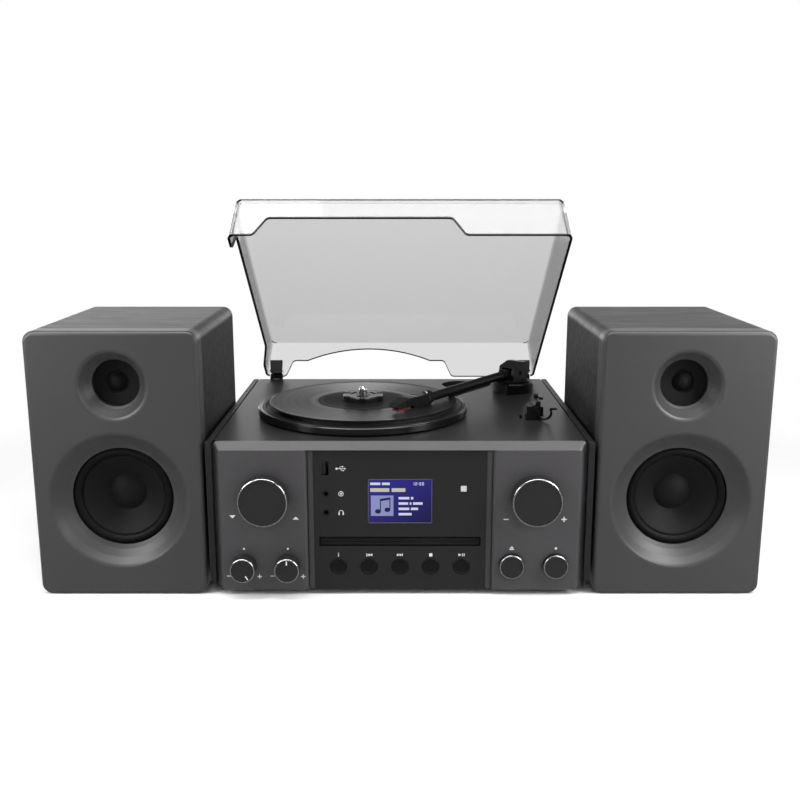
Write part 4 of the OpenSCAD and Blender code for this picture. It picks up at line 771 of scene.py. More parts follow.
class MUSICCENTRE_OT_front_panel(bpy.types.Operator):
    """Dresses the centre panel with its display, side trims, disc slot, sockets and window"""

    bl_idname = "music_centre.front_panel"
    bl_label = "Front panel"

    def execute(self, context):
        low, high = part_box("display_screen")
        dress(gloss_panel(paint("panel")), "centre_panel")
        dress(lit_display(paint("display_light"), paint("display_dark"), low, high),
              "display_screen")
        dress(satin_abs("milky_polystyrene", linear("#c4c4c4"), 0.3), "remote_window")
        dress(plated("nickel_plated_shell", linear("#77787a"), 0.3), "usb_socket")
        dress(black_abs(), "audio_jacks")
        self.display(low, high)
        self.side_trims()
        self.slot()
        self.usb_contacts()
        return {"FINISHED"}

    def display(self, low, high):
        """Thin grey rim, plain bars, a plain clock and a tile with a note on the display."""
        half_x, half_z = (high.x - low.x) * 500, (high.z - low.z) * 500
        small = []
        for x, z, lengths in ((-25, 14.2, (8.5, 6.5)), (-1.2, 1.6, (9.0, 2.0)),
                              (-1.2, -3.1, (8.0, 1.4, 8.0)), (-1.2, -7.8, (9.0, 6.0)),
                              (-1.2, -12.5, (11.0,))):
            small += self.bars(x, z, lengths, 2.1, 1.4)
        note = [round_outline(-18.6, -9.0, 2.5, 20, 0.8), round_outline(-10.6, -7.6, 2.5, 20, 0.8),
                box_outline(-16.9, -16.1, -9.0, 1.2), box_outline(-8.9, -8.1, -7.6, 2.6),
                [(-16.9, 0.0), (-8.1, 1.4), (-8.1, 3.4), (-16.9, 2.0)]]
        for name, outlines, finish, depth in (
                ("rim", border(half_x, half_z, 0.6, 0.7, half_z),
                 satin_abs("display_rim_print", linear("#55545f"), 0.4), 0.08),
                ("bars", small + self.clock(10.5, 13.9),
                 lit_print("lit_display_marks", "#d9dcf2"), 0.05),
                ("title", self.bars(-25.0, 8.2, (16.0, 11.5), 3.2, 2.0),
                 lit_print("lit_display_title", "#c9c6ae"), 0.05),
                ("tile", [box_outline(-24.5, -5.5, -13.0, 5.0)],
                 lit_print("lit_display_tile", "#8f93c4"), 0.03),
                ("note", note, lit_print("lit_display_note", "#1b1a4c", 1.0), 0.06)):
            marks(f"display_{name}", outlines, front("display_screen"), finish, "unit",
                  mm(depth))

    def bars(self, x, z, lengths, height, gap):
        """Row of bars that starts at x, in place of words."""
        outlines = []
        for length in lengths:
            outlines.append(box_outline(x, x + length, z, z + height))
            x += length + gap
        return outlines

    def clock(self, x, z):
        """Plain digits of a clock as bars, up to seven to a digit."""
        width, height, bar = 1.5, 2.6, 0.42
        half = height / 2
        segments = {"a": (0, height - bar, width, height),
                    "b": (width - bar, half, width, height), "c": (width - bar, 0, width, half),
                    "d": (0, 0, width, bar), "e": (0, 0, bar, half), "f": (0, half, bar, height),
                    "g": (0, half - bar / 2, width, half + bar / 2)}
        digits = {"1": "bc", "2": "abged", "0": "abcdef"}
        outlines = []
        for sign in "12:00":
            if sign == ":":
                outlines += [box_outline(x, x + 0.4, z + 0.6, z + 1.0),
                             box_outline(x, x + 0.4, z + 1.7, z + 2.1)]
                x += 1.1
                continue
            for name in digits[sign]:
                x0, z0, x1, z1 = segments[name]
                outlines.append(box_outline(x + x0, x + x1, z + z0, z + z1))
            x += 2.3
        return outlines

    def side_trims(self):
        """Sloped strips along both upright edges of the panel. Their colour is lighter than the
        panel's, partly as painted light on these bevels.
        """
        low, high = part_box("centre_panel")
        strips = bmesh.new()
        for side in (-1, 1):
            skin(strips, [[strips.verts.new((side * (high.x - mm(x)), low.y + mm(y), z))
                           for x, y in ((0, 0.05), (0, -0.05), (1.47, -0.45), (4.2, -0.07),
                                        (4.2, 0.05))]
                          for z in (low.z + mm(1.2), high.z - mm(0.8))])
        # Painted light in part: the strips' colour is lighter than the panel's, to show its lit side
        # bevels.
        piece("panel_side_trims", strips,
              satin_abs("satin_trim_abs", linear("#3c3b3c"), 0.4, 0.35), "unit")

    def slot(self):
        """Near-black bars as painted shade round the disc slot's recess, and two felt lips in it."""
        at = Vector((0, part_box("centre_panel")[0].y + mm(1.2),
                     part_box("display_screen")[0].z - mm(16.25)))
        # Painted shade: these near-black bars stand for the shadow on the edges of the slot's
        # recess.
        marks("slot_bezel", border(68.4, 4.15, 1.0, 0.85, 3.3), at,
              satin_abs("slot_bezel_abs", linear("#050506"), 0.5, 0.1), "unit", mm(0.9))
        felt = grained("black_wool_felt", linear("#161617"), 0.9, mm(0.5), mm(0.06), 0.35, 0.05,
                       specular=0.2)
        lips = [box_outline(-67.3, 67.3, 0.2, 3.2), box_outline(-67.3, 67.3, -3.2, -0.2)]
        marks("slot_felt_lips", lips, at, felt, "unit", mm(0.45), 0.0)

    def usb_contacts(self):
        """Tongue in the USB socket with four contacts on it; both end inside the socket."""
        at = front("usb_socket")
        marks("usb_tongue", [box_outline(-0.9, 0.1, -5.2, 5.2)], at, black_abs(), "unit",
              -mm(1.4), mm(10), mm(0.2))
        marks("usb_contacts", [box_outline(0.1, 0.25, z - 0.5, z + 0.5)
                               for z in (-3.5, -1.2, 1.2, 3.5)], at, gold(), "unit",
              -mm(2), mm(9))


def turned_control(node, ring, gap, dish=mm(0.5)):
    """Turned knob or button in place of a node, with a chrome ring round its front edge. Its
    face lies a little behind the ring; gap is its distance from the fascia."""
    low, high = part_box(node)
    at = front(node)
    radius = (high.x - low.x) / 2
    if node.endswith("button"):
        radius -= mm(0.8)
    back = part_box("fascia_frame")[0].y - gap - low.y
    deep = high.y - low.y
    inner, outer, shaft = radius - ring, radius - mm(0.1), mm(3)
    profile = [(0, dish), (inner * 0.5, dish + mm(0.06)), (inner * 0.9, dish), (inner, dish),
               (inner + mm(0.1), ring), (outer, ring), (outer, back - mm(0.3)),
               (radius - mm(0.4), back), (shaft, back), (shaft, deep), (0, deep)]
    finish = turned_face(f"turned_abs_{node}", paint("knob"), at)
    body = turned(f"{node}_body", profile, at, "Y", finish, body_of(node), 96)
    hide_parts(node)
    turns = [math.radians(90 - 90 * i / 8) for i in range(9)]
    arc = [(radius - ring * (1 - math.cos(turn)), ring * (1 - math.sin(turn))) for turn in turns]
    profile = [(inner + mm(0.05), ring), (inner + mm(0.02), mm(0.12)), *arc,
               (radius, ring + mm(0.5)), (radius - mm(0.2), ring + mm(0.6))]
    turned(f"{node}_ring", profile, at, "Y", chrome(), body_of(node), 96)


class MUSICCENTRE_OT_knobs(bpy.types.Operator):
    """Turns the four knobs with chrome rings, and prints white pointers on the bass and treble knobs
    """

    bl_idname = "music_centre.knobs"
    bl_label = "Knobs"

    def execute(self, context):
        for node, ring, gap in (("select_knob", sizes().ring_width, mm(1.4)),
                                ("volume_knob", sizes().ring_width, mm(1.4)),
                                ("bass_knob", sizes().button_ring, mm(0.5)),
                                ("treble_knob", sizes().button_ring, mm(0.5))):
            turned_control(node, ring, gap)
        for node, turn in (("bass_knob", math.radians(150)), ("treble_knob", 0)):
            low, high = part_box(node)
            radius = (high.x - low.x) * 500
            c, s = math.cos(turn), math.sin(turn)
            bar = [(x * c + z * s, -x * s + z * c)
                   for x, z in box_outline(-0.5, 0.5, radius - 5.4, radius - 1.6)]
            marks(f"{node}_pointer", [bar], front(node) + WAYS["Y"] * mm(0.5), ink(),
                  body_of(node), mm(0.1), mm(0.1))
        dress(steel(), "select_plunger", "volume_plunger")
        return {"FINISHED"}


class MUSICCENTRE_OT_buttons(bpy.types.Operator):
    """Turns the two round buttons with chrome rings, and dresses the five flush keys"""

    bl_idname = "music_centre.buttons"
    bl_label = "Buttons"

    def execute(self, context):
        for node in ("eject_button", "record_button"):
            turned_control(node, sizes().button_ring, -mm(3.5), mm(0.35))
        # Partly painted shade: the keys' darker colour stands for the shade of a shallow recess.
        for node in ("info_button", "previous_button", "next_button", "stop_button",
                     "play_button"):
            dress(turned_face(f"turned_abs_{node}", paint("key"), front(node), 0.4), node)
        return {"FINISHED"}


class MUSICCENTRE_OT_markings(bpy.types.Operator):
    """Prints the plain symbols by the knobs, keys and sockets"""

    bl_idname = "music_centre.markings"
    bl_label = "Markings"

    def execute(self, context):
        plus = [box_outline(-2.3, 2.3, -0.45, 0.45), box_outline(-0.45, 0.45, 0.45, 2.3),
                box_outline(-0.45, 0.45, -2.3, -0.45)]
        minus = [box_outline(-2.1, 2.1, -0.4, 0.4)]
        small_plus, small_minus = ([[(x * 0.85, z * 0.85) for x, z in outline]
                                    for outline in sign] for sign in (plus, minus))
        tones = [row for name, x in (("bass", -132.5), ("treble", -95.2)) for row in (
            (f"{name}_middle", [round_outline(0, 0, 0.9)], x, 41.6),
            (f"{name}_less", small_minus, x - 13.6, 17.0),
            (f"{name}_more", small_plus, x + 12.6, 16.6))]
        self.symbols("fascia_frame", "fascia", [
            ("scroll_down", [[(-2.7, 1.2), (0, -1.5), (2.7, 1.2)]], -141.2, 70.4),
            ("scroll_up", [[(-2.7, -1.2), (2.7, -1.2), (0, 1.5)]], -87.9, 68.9),
            ("volume_less", minus, 89.4, 67.9), ("volume_more", plus, 138.3, 67.9), *tones,
            ("eject", [[(-2.0, -0.1), (2.0, -0.1), (0, 2.0)], box_outline(-2.0, 2.0, -1.3, -0.6)],
             94.9, 42.0),
            ("record", [round_outline(0, 0, 1.1)], 132.3, 42.0)])
        skip = [[(-2.6, -1.3), (-0.4, 0), (-2.6, 1.3)], [(-0.4, -1.3), (1.8, 0), (-0.4, 1.3)],
                box_outline(1.8, 2.4, -1.3, 1.3)]
        back = [[(-x, z) for x, z in reversed(outline)] for outline in skip]
        play = [[(-2.6, -1.3), (-0.2, 0), (-2.6, 1.3)], box_outline(0.5, 1.2, -1.3, 1.3),
                box_outline(1.9, 2.6, -1.3, 1.3)]
        phones = [ring_outline(2.1, 1.6, 180), box_outline(-2.3, -1.2, -2.2, 0),
                  box_outline(1.2, 2.3, -2.2, 0)]
        branches = [box_outline(-3.4, 3.0, -0.22, 0.22), [(3.0, -0.8), (4.3, 0), (3.0, 0.8)],
                    round_outline(-3.6, 0, 0.9, 16),
                    [(-1.9, 0.15), (-1.5, 0.15), (-0.3, 1.5), (1.2, 1.5), (1.2, 1.9),
                     (-0.5, 1.9)],
                    round_outline(1.5, 1.7, 0.55, 12),
                    [(-0.6, -0.15), (-0.2, -0.15), (0.8, -1.4), (1.7, -1.4), (1.7, -1.8),
                     (0.6, -1.8)],
                    box_outline(1.6, 2.5, -2.05, -1.15)]
        self.symbols("centre_panel", "panel", [
            ("previous", back, -26.2, 35.6), ("next", skip, 0, 35.6),
            ("stop", [box_outline(-1.4, 1.4, -1.4, 1.4)], 26.2, 35.6), ("play", play, 52.4, 35.6),
            ("info", [box_outline(-0.35, 0.35, -1.5, 0.5), round_outline(0, 1.4, 0.45, 12)],
             -52.4, 35.6),
            ("headphones", phones, -49.6, 73.5),
            ("audio_in", [ring_outline(2.2, 1.7, 359), round_outline(0, 0, 0.8)], -49.6, 90.0),
            ("usb", branches, -49.4, 111.9)])
        return {"FINISHED"}

    def symbols(self, node, slot, rows):
        """Prints symbols on a node's front side, each about its own point in millimetres."""
        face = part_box(node)[0].y
        for name, outlines, x, z in rows:
            marks(f"mark_{name}", outlines, Vector((mm(x), face, mm(z))), ink(), "unit",
                  sizes().mark_depth)


class MUSICCENTRE_OT_turntable(bpy.types.Operator):
    """Dresses platter, record, adapter, spindle and drive, and adds beads, lip and lobes"""

    bl_idname = "music_centre.turntable"
    bl_label = "Turntable"

    def execute(self, context):
        centre = middle("record")
        adapter = satin_abs("satin_adapter_abs", linear("#1a1a1b"), 0.3)
        # The darker rim colour is partly painted shade on the platter's side.
        dress(ribbed_mat(paint("platter"), linear("#131314"), centre, mm(94)), "platter")
        dress(pressed_record(paint("record"), linear("#1d1d1e"), linear("#5b5b5d"), centre),
              "record")
        dress(adapter, "record_adapter")
        dress(plated("polished_steel", linear("#c9cacc"), 0.1), "spindle")
        dress(plated("turned_brass", linear("#b08d4c"), 0.25), "platter_drive", "motor_pulley")
        dress(soft_rubber("neoprene_belt", linear("#161616")), "drive_belt")
        self.platter_rings()
        self.adapter_lobes(adapter)
        return {"FINISHED"}

    def platter_rings(self):
        """Two raised rubber beads of the mat beside the record's edge, and the platter's
        turned lip."""
        low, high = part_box("platter")
        at = Vector(((low.x + high.x) / 2, (low.y + high.y) / 2, 0))
        beads = bmesh.new()
        for radius, width in ((mm(89.2), mm(0.6)), (mm(92.4), mm(0.7))):
            top = self.height(at, radius)
            bead = [(radius + width * out, top + mm(up)) for out, up in (
                (-1, -0.1), (-0.8, 0.35), (0, 0.5), (0.8, 0.35), (1, -0.1))]
            turn_profile(beads, bead, at, "Z", 144)
        piece("mat_beads", beads, soft_rubber("mat_bead_rubber", linear("#0f0f10"), 0.4),
              "platter")
        rim = (high.x - low.x) / 2
        top = self.height(at, rim - mm(1.2))
        lip = [(rim - mm(back), top + mm(up)) for back, up in (
            (1.7, -0.1), (1.6, 0.25), (1.2, 0.4), (0.7, 0.3), (0.55, -0.1))]
        finish = grained("turned_black_lip", linear("#1f1f20"), 0.3, mm(0.6), mm(0.001), 0.04,
                         0.02)
        turned("platter_lip", lip, at, "Z", finish, "platter", 144)

    def height(self, at, radius):
        """Height of the platter's top at a radius, found by a ray from above."""
        source = NODES["platter"]
        start = source.matrix_world.inverted() @ (at + Vector((radius, 0, 1)))
        hit, place, _, _ = source.ray_cast(start, -WAYS["Z"])
        if not hit:
            raise RuntimeError("no platter at this radius")
        return (source.matrix_world @ place).z

    def adapter_lobes(self, finish):
        """Six rounded lobes that stand out from the adapter's rim, and a raised centre ring."""
        low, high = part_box("record_adapter")
        centre = (low + high) / 2
        reach = (high.x - low.x) / 2 - mm(1.2)
        lobe = mms((0, 0), (2.4, 0), (2.9, 0.4), (2.9, 2.2), (2.4, 2.75), (0, 2.75))
        lobes = bmesh.new()
        for i in range(6):
            angle = math.radians(30 + 60 * i)
            turn_profile(lobes, lobe, Vector((centre.x + reach * math.cos(angle),
                                              centre.y + reach * math.sin(angle),
                                              high.z - mm(2.3))), "Z", 24)
        turn_profile(lobes, mms((5.3, 0), (7.0, 0), (7.0, 0.3), (5.3, 0.3)),
                     Vector((centre.x, centre.y, high.z - mm(0.05))), "Z", 48)
        piece("adapter_lobes", lobes, finish, "platter")


class MUSICCENTRE_OT_tone_arm(bpy.types.Operator):
    """Dresses the tone arm, its base, lift, rest and clip"""

    bl_idname = "music_centre.tone_arm"
    bl_label = "Tone arm"

    def execute(self, context):
        moulded = satin_abs("satin_arm_abs", paint("arm"), 0.42, 0.3)
        dress(grained("painted_aluminium_tube", paint("arm"), 0.4, mm(0.6), mm(0.003), 0.06, 0.05,
                      mm(0.3), ior=1.5, specular=0.3), "arm_tube")
        dress(moulded, "arm_base", "arm_turret", "headshell", "arm_rest", "arm_clip",
              "lift_lever", "lift_platform", "speed_slider")
        dress(grained("dark_red_styrene", paint("stylus"), 0.3, mm(0.8), mm(0.004), 0.1, 0.05,
                      mm(0.2), ior=1.59,
                      **{"Subsurface Weight": 0.1, "Subsurface Scale": 0.001}), "cartridge")
        self.collars(moulded)
        self.wire_channel(moulded)
        self.tilt_screws()
        return {"FINISHED"}

    def collars(self, moulded):
        """Grip nut and bright ring where the head is locked on, and a stepped sleeve at the
        pivot's end of the tube."""
        pivot, along, _, up = arm_frame()
        steps = 26 * 4
        outline = []
        for i in range(steps):
            radius = 6.1 if i % 4 in (0, 1) else 5.7
            turn = 2 * math.pi * i / steps
            outline.append((radius * math.cos(turn), radius * math.sin(turn)))
        nut = bmesh.new()
        raise_outline(nut, mms(*outline), pivot + along * mm(146.4) + up * mm(0.5),
                      up.cross(along), up, mm(6))
        piece("arm_grip_nut", nut, moulded, "tone_arm")
        ring = mms((5.2, 0), (5.9, 0), (6.3, 0.4), (6.3, 1.0), (5.9, 1.4), (5.2, 1.4))
        turned("arm_lock_ring", ring, pivot + along * mm(152.9) + up * mm(0.5), along,
               plated("satin_chrome_plating", linear("#8f9092"), 0.25), "tone_arm", 48)
        sleeve = mms((4.2, 0), (5.2, 0), (5.5, 0.3), (5.5, 6.2), (5.2, 6.5), (4.2, 6.5))
        turned("arm_sleeve", sleeve, pivot + along * mm(15.2), along, moulded, "tone_arm",
               48)

    def wire_channel(self, moulded):
        """Flat channel for the wires under the tube, with rounded ends."""
        pivot, along, _, up = arm_frame()
        outline = mms((47, -2.2), (113, -2.2), (114.6, -1.4), (115, 0), (114.6, 1.4), (113, 2.2),
                      (47, 2.2), (45.4, 1.4), (45, 0), (45.4, -1.4))
        channel = bmesh.new()
        raise_outline(channel, outline, pivot - up * mm(6), along, up.cross(along), mm(2.6))
        piece("arm_wire_channel", channel, moulded, "tone_arm")

    def tilt_screws(self):
        """Screws that hold the tilting axis, on the outsides of the turret's cheeks."""
        pivot, _, across, up = arm_frame()
        cheek = max(abs((v.co - pivot).dot(across)) for v in NODES["arm_turret"].data.vertices
                    if (v.co - pivot).dot(up) > mm(2))
        head = mms((0, 0), (2.2, 0), (2.2, 0.5), (1.8, 0.8), (0.8, 0.8), (0.7, 0.35), (0, 0.35))
        heads = bmesh.new()
        for side in (-1, 1):
            turn_profile(heads, head, pivot + across * side * cheek, across * side, 24)
        piece("arm_tilt_screws", heads, plated("black_oxide_screws", linear("#2b2b2c"), 0.35),
              "arm_turret")


class MUSICCENTRE_OT_cover(bpy.types.Operator):
    """Dresses the smoked cover, draws its cut edges and dresses its hinges"""

    bl_idname = "music_centre.cover"
    bl_label = "Cover"

    def execute(self, context):
        dress(smoked_acrylic(paint("cover"), 0.16, 0.85), "cover")
        dress(black_abs(), "cover_hinges")
        finish = grained("sawn_acrylic_edge", linear("#0d0d0e"), 0.25, mm(0.5), mm(0.002), 0.1,
                         0.05, ior=1.49)
        hinge = joint("cover_hinge")["pos_m"]
        self.cut_edges(hinge, finish)
        self.bend_line(hinge, finish)
        return {"FINISHED"}

    def cut_edges(self, hinge, finish):
        """Dark strips just under the cover's cut edges, where the sheet is seen end-on. A face
        belongs to an edge where the sheet behind it is far deeper than its thickness. The
        strips are thinner on the edges near the hinge."""
        source = bmesh.new()
        source.from_mesh(NODES["cover"].data)
        bmesh.ops.remove_doubles(source, verts=source.verts, dist=mm(0.01))
        source.normal_update()
        tree = BVHTree.FromBMesh(source)
        ends = set()
        for face in source.faces:
            if face.calc_area() < 1e-10:
                continue
            start = face.calc_center_median() - face.normal * mm(0.05)
            hit = tree.ray_cast(start, -face.normal)
            if hit[0] is not None and hit[3] > mm(4.5):
                ends.add(face)
        if not ends:
            raise RuntimeError("the cover has no cut edges")
        strips = bmesh.new()
        pairs = {}
        for face in sorted(ends, key=lambda f: f.index):
            for vert in face.verts:
                if vert.index not in pairs:
                    out = sum((f.normal for f in vert.link_faces if f in ends), Vector())
                    out.normalize()
                    from_hinge = math.hypot(vert.co.y - hinge[1], vert.co.z - hinge[2])
                    rear = from_hinge < mm(50) and abs(vert.co.x) < mm(136)
                    deep = sizes().edge_line * (0.35 if rear else 1.15)
                    proud = vert.co + out * mm(0.005)
                    proud = Vector(min(max(proud[i], CAD_BOX[0][i]), CAD_BOX[1][i])
                                   for i in range(3))
                    pairs[vert.index] = (strips.verts.new(proud),
                                         strips.verts.new(vert.co - out * deep))
            corners = [pairs[v.index] for v in face.verts]
            strips.faces.new([pair[0] for pair in corners])
            strips.faces.new([pair[1] for pair in reversed(corners)])
            for edge in face.edges:
                if sum(f in ends for f in edge.link_faces) == 1:
                    one, two = (pairs[v.index] for v in edge.verts)
                    strips.faces.new([one[0], two[0], two[1], one[1]])
        source.free()
        piece("cover_cut_edges", strips, finish, "cover")

    def bend_line(self, hinge, finish):
        """Dark line just under the bend between the cover's top and its front wall, where the
        eye looks along the sheet. It follows the rim of the largest face, away from the
        hinge."""
        source = NODES["cover"].data
        level = max(source.polygons, key=lambda f: f.area).normal
        top = max(v.co.dot(level) for v in source.vertices)
        rim = [v.co for v in source.vertices if top - v.co.dot(level) < mm(0.1)]
        reach = max((co.yz - Vector(hinge[1:])).length for co in rim)
        rim = [co for co in rim if (co.yz - Vector(hinge[1:])).length > reach - mm(6)]
        rim = [Vector(co) for co in sorted({tuple(round(c, 6) for c in co) for co in rim})]
        line = bmesh.new()
        rows = []
        for i, at in enumerate(rim):
            along = (rim[min(i + 1, len(rim) - 1)] - rim[max(i - 1, 0)]).normalized()
            out = along.cross(level).normalized()
            rows.append([line.verts.new(at - level * mm(down) + out * mm(away)) for down, away in (
                (0.02, -0.1), (0.02, -1.5), (1.5, -1.1), (1.5, -0.1))])
        skin(line, rows)
        piece("cover_bend_line", line, finish, "cover")


class MUSICCENTRE_OT_inside(bpy.types.Operator):
    """Dresses the disc drive and the circuit boards"""

    bl_idname = "music_centre.inside"
    bl_label = "Inside"

    def execute(self, context):
        dress(steel(), "disc_drive")
        dress(circuit_board("solder_masked_board", linear("#17442a"), linear("#2c6a41")),
              "circuit_boards", "control_board")
        return {"FINISHED"}


class MUSICCENTRE_OT_rear_sockets(bpy.types.Operator):
    """Dresses the rear sockets and the power inlet, and adds rings and contacts"""

    bl_idname = "music_centre.rear_sockets"
    bl_label = "Rear sockets"

    def execute(self, context):
        dress(plated("nickel_plated_brass", linear("#b9b6ae"), 0.2), "rear_sockets")
        dress(black_abs(), "power_inlet", "speaker_socket_left", "speaker_socket_right")
        self.socket_rings("rear", [(mm(-30 + 16 * i), i % 2) for i in range(4)]
                          + [(mm(70 + 16 * i), i % 2) for i in range(2)],
                          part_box("rear_panel")[1].y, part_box("rear_sockets")[0].z + mm(9), "unit")
        for side in ("left", "right"):
            low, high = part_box(f"speaker_socket_{side}")
            self.socket_rings(f"speaker_{side}", [((low.x + high.x) / 2, 1)], high.y - mm(9),
                              (low.z + high.z) / 2, f"speaker_{side}")
        return {"FINISHED"}

    def socket_rings(self, name, places, rear, height, body):
        """Coloured insulating rings and split centre contacts of phono sockets. A place is
        where a socket is from left to right, with 1 for a red one and 0 for a white one."""
        rings = (mms((4.25, 1.4), (6.4, 1.4), (6.4, 2.6), (6.0, 3.0), (4.25, 3.0)),
                 mms((1.75, 8.4), (3.4, 8.4), (3.4, 8.8), (1.75, 8.9)))
        contact = mms((0.9, 1), (1.45, 1), (1.45, 9.3), (1.2, 9.7), (0.9, 9.3))
        for tone, is_red, code in (("red", 1, "#a3201d"), ("white", 0, "#d9d8d3")):
            centres = [Vector((x, rear, height)) for x, red in places if red == is_red]
            if not centres:
                continue
            mesh_data = bmesh.new()
            for at in centres:
                for ring in rings:
                    turn_profile(mesh_data, ring, at, "Y", 48)
            piece(f"{name}_{tone}_rings", mesh_data,
                  shared(f"{tone}_nylon_ring", satin_abs, linear(code), 0.35), body)
        contacts = bmesh.new()
        for x, _ in places:
            turn_profile(contacts, contact, Vector((x, rear, height)), "Y", 24)
        piece(f"{name}_contacts", contacts, gold(), body)


class MUSICCENTRE_OT_speakers(bpy.types.Operator):
    """Dresses both speakers"""

    bl_idname = "music_centre.speakers"
    bl_label = "Speakers"

    def execute(self, context):
        finishes = {"speaker_cabinet": black_ash_foil(paint("cabinet")),
                    "speaker_baffle": sprayed_baffle(paint("baffle")),
                    "woofer_frame": soft_rubber("butyl_surround", linear("#0c0c0d")),
                    "tweeter": woven_silk("coated_silk_dome", linear("#0c0c0c"))}
        for side in ("left", "right"):
            for part, finish in finishes.items():
                dress(finish, f"{part}_{side}")
            cone = f"woofer_cone_{side}"
            dress(pulp_cone(paint("cone"), middle(cone)), cone)
        return {"FINISHED"}


# Each softbox: name, place, aim, width and height in metres, power in watts.
SOFTBOXES = (
    ("overhead_softbox_left", (-0.6825, -0.457, 2.045), (-0.6825, 0.145, 0.137), (0.935, 0.6), 16),
    ("overhead_softbox_right", (0.4675, -0.457, 2.045), (0.4675, 0.145, 0.137), (1.365, 0.6),
     17.5),
    ("front_softbox_left", (-0.95, -1.5, 0.7), (-0.15, -0.14, 0.1), (0.6, 0.8), 1.5),
    ("front_softbox_right", (0.95, -1.5, 0.7), (0.15, -0.14, 0.1), (0.6, 0.8), 3.5),
    ("left_softbox", (-0.51, -0.31, 0.37), (-0.29, -0.14, 0.14), (0.16, 0.36), 1.5),
    ("right_softbox", (0.51, -0.31, 0.37), (0.29, -0.14, 0.14), (0.16, 0.36), 2.2))
CAMERA_PLACE = (0, -0.90981, 0.33774)
CAMERA_TILT = math.radians(90 - 12.275)
CAMERA_LENS = 43.05
CAMERA_SENSOR = 36


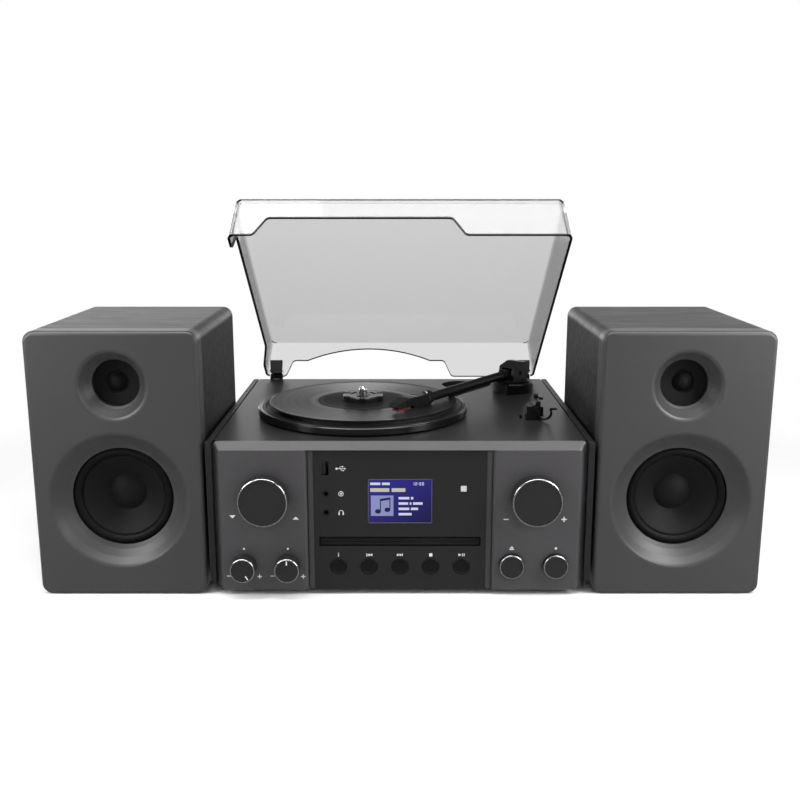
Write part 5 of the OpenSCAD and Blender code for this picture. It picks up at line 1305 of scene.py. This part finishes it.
class MUSICCENTRE_OT_stage(bpy.types.Operator):
    """Lays the white floor and sets the soft lights, the world and the camera"""

    bl_idname = "music_centre.stage"
    bl_label = "Stage"

    def execute(self, context):
        scene = context.scene
        self.floor()
        self.world(scene)
        for name, place, aim, (width, height), power in SOFTBOXES:
            lamp = bpy.data.lights.new(name, "AREA")
            lamp.shape = "RECTANGLE"
            lamp.size, lamp.size_y = width, height
            lamp.energy = power
            holder = bpy.data.objects.new(name, lamp)
            holder.location = place
            facing = Vector(aim) - Vector(place)
            holder.rotation_euler = facing.to_track_quat("-Z", "Y").to_euler()
            scene.collection.objects.link(holder)
        lens = bpy.data.cameras.new("camera")
        lens.lens = CAMERA_LENS
        lens.sensor_width = CAMERA_SENSOR
        viewer = bpy.data.objects.new("camera", lens)
        viewer.location = CAMERA_PLACE
        viewer.rotation_euler = (CAMERA_TILT, 0, 0)
        scene.collection.objects.link(viewer)
        scene.camera = viewer
        scene.view_settings.view_transform = "Standard"
        return {"FINISHED"}

    def floor(self):
        """Pale floor that keeps the object's shadow near it and is plain white further out.
        Mirrors see it grey, as on a table that is dark beyond the lit paper."""
        mesh_data = bmesh.new()
        bmesh.ops.create_grid(mesh_data, x_segments=8, y_segments=8, size=6)
        data = bpy.data.meshes.new("floor")
        mesh_data.to_mesh(data)
        mesh_data.free()
        ground = bpy.data.objects.new("floor", data)
        ground.location.z = -mm(0.2)
        bpy.context.scene.collection.objects.link(ground)
        material, tree, shader, place = start_finish("seamless_studio_paper", linear("#f4f4f4"),
                                                     0.8, specular=0.1)
        far = spread(tree, radius_from(tree, place, (0, 0, 0), 2), 0, 1, 0.36, 0.72)
        path = add(tree, "LightPath").outputs
        direct = calc(tree, "MAXIMUM", path["Is Camera Ray"], path["Is Transmission Ray"])
        paper = mix_shaders(tree, calc(tree, "MULTIPLY", direct, far), shader.outputs["BSDF"],
                            white_light(tree, "Emission", 1.0))
        paper = mix_shaders(tree, path["Is Glossy Ray"], paper,
                            white_light(tree, "Emission", 0.2))
        output = next(n for n in tree.nodes if n.type == "OUTPUT_MATERIAL")
        tree.links.new(paper, output.inputs["Surface"])
        data.materials.append(material)

    def world(self, scene):
        """White where the camera and clear parts look, and an even grey light for the rest.
        Mirrors see a bright band low behind the object, brighter on the left."""
        world = bpy.data.worlds.new("studio")
        scene.world = world
        world.use_nodes = True
        tree = world.node_tree
        tree.nodes.clear()
        path = add(tree, "LightPath").outputs
        seen = calc(tree, "MAXIMUM", path["Is Camera Ray"], path["Is Transmission Ray"])
        generated = add(tree, "TexCoord").outputs["Generated"]
        way = add(tree, "SeparateXYZ", {"Vector": generated}).outputs
        rearward = spread(tree, way["Y"], 0, 1, 0.2, 0.6)
        low = calc(tree, "MULTIPLY", spread(tree, way["Z"], 2.6, 0.1, 0.11, 0.22),
                   spread(tree, way["X"], 2.0, 1.2, -0.3, 0.2))
        mirrored = white_light(tree, "Background", calc(tree, "MULTIPLY", rearward, low))
        lit = mix_shaders(tree, path["Is Glossy Ray"], white_light(tree, "Background", 0.3),
                          mirrored)
        whole = mix_shaders(tree, seen, lit, white_light(tree, "Background", 1.0))
        add(tree, "OutputWorld", {"Surface": whole})


STEPS = (MUSICCENTRE_OT_housing, MUSICCENTRE_OT_front_panel, MUSICCENTRE_OT_knobs,
         MUSICCENTRE_OT_buttons, MUSICCENTRE_OT_markings, MUSICCENTRE_OT_turntable,
         MUSICCENTRE_OT_tone_arm, MUSICCENTRE_OT_cover, MUSICCENTRE_OT_inside,
         MUSICCENTRE_OT_rear_sockets, MUSICCENTRE_OT_speakers, MUSICCENTRE_OT_stage)


class MUSICCENTRE_PT_panel(bpy.types.Panel):
    """Lists the settings and the building steps of the music centre"""

    bl_label = "Music centre"
    bl_idname = "MUSICCENTRE_PT_panel"
    bl_space_type = "VIEW_3D"
    bl_region_type = "UI"
    bl_category = "Music centre"

    def draw(self, context):
        for step in STEPS:
            self.layout.operator(step.bl_idname)
        for group in (context.scene.music_centre_colours, context.scene.music_centre_sizes):
            for name in group.__annotations__:
                self.layout.prop(group, name)


CLASSES = (MusicCentreColours, MusicCentreSizes, *STEPS, MUSICCENTRE_PT_panel)


def register():
    """Adds the classes and the scene's settings."""
    for item in CLASSES:
        bpy.utils.register_class(item)
    bpy.types.Scene.music_centre_colours = PointerProperty(type=MusicCentreColours)
    bpy.types.Scene.music_centre_sizes = PointerProperty(type=MusicCentreSizes)


def unregister():
    """Takes the settings and classes away again."""
    del bpy.types.Scene.music_centre_sizes
    del bpy.types.Scene.music_centre_colours
    for item in reversed(CLASSES):
        bpy.utils.unregister_class(item)


def main():
    register()
    for step in STEPS:
        group, name = step.bl_idname.split(".")
        getattr(getattr(bpy.ops, group), name)()
    bpy.context.view_layer.update()


if __name__ == "__main__":
    main()
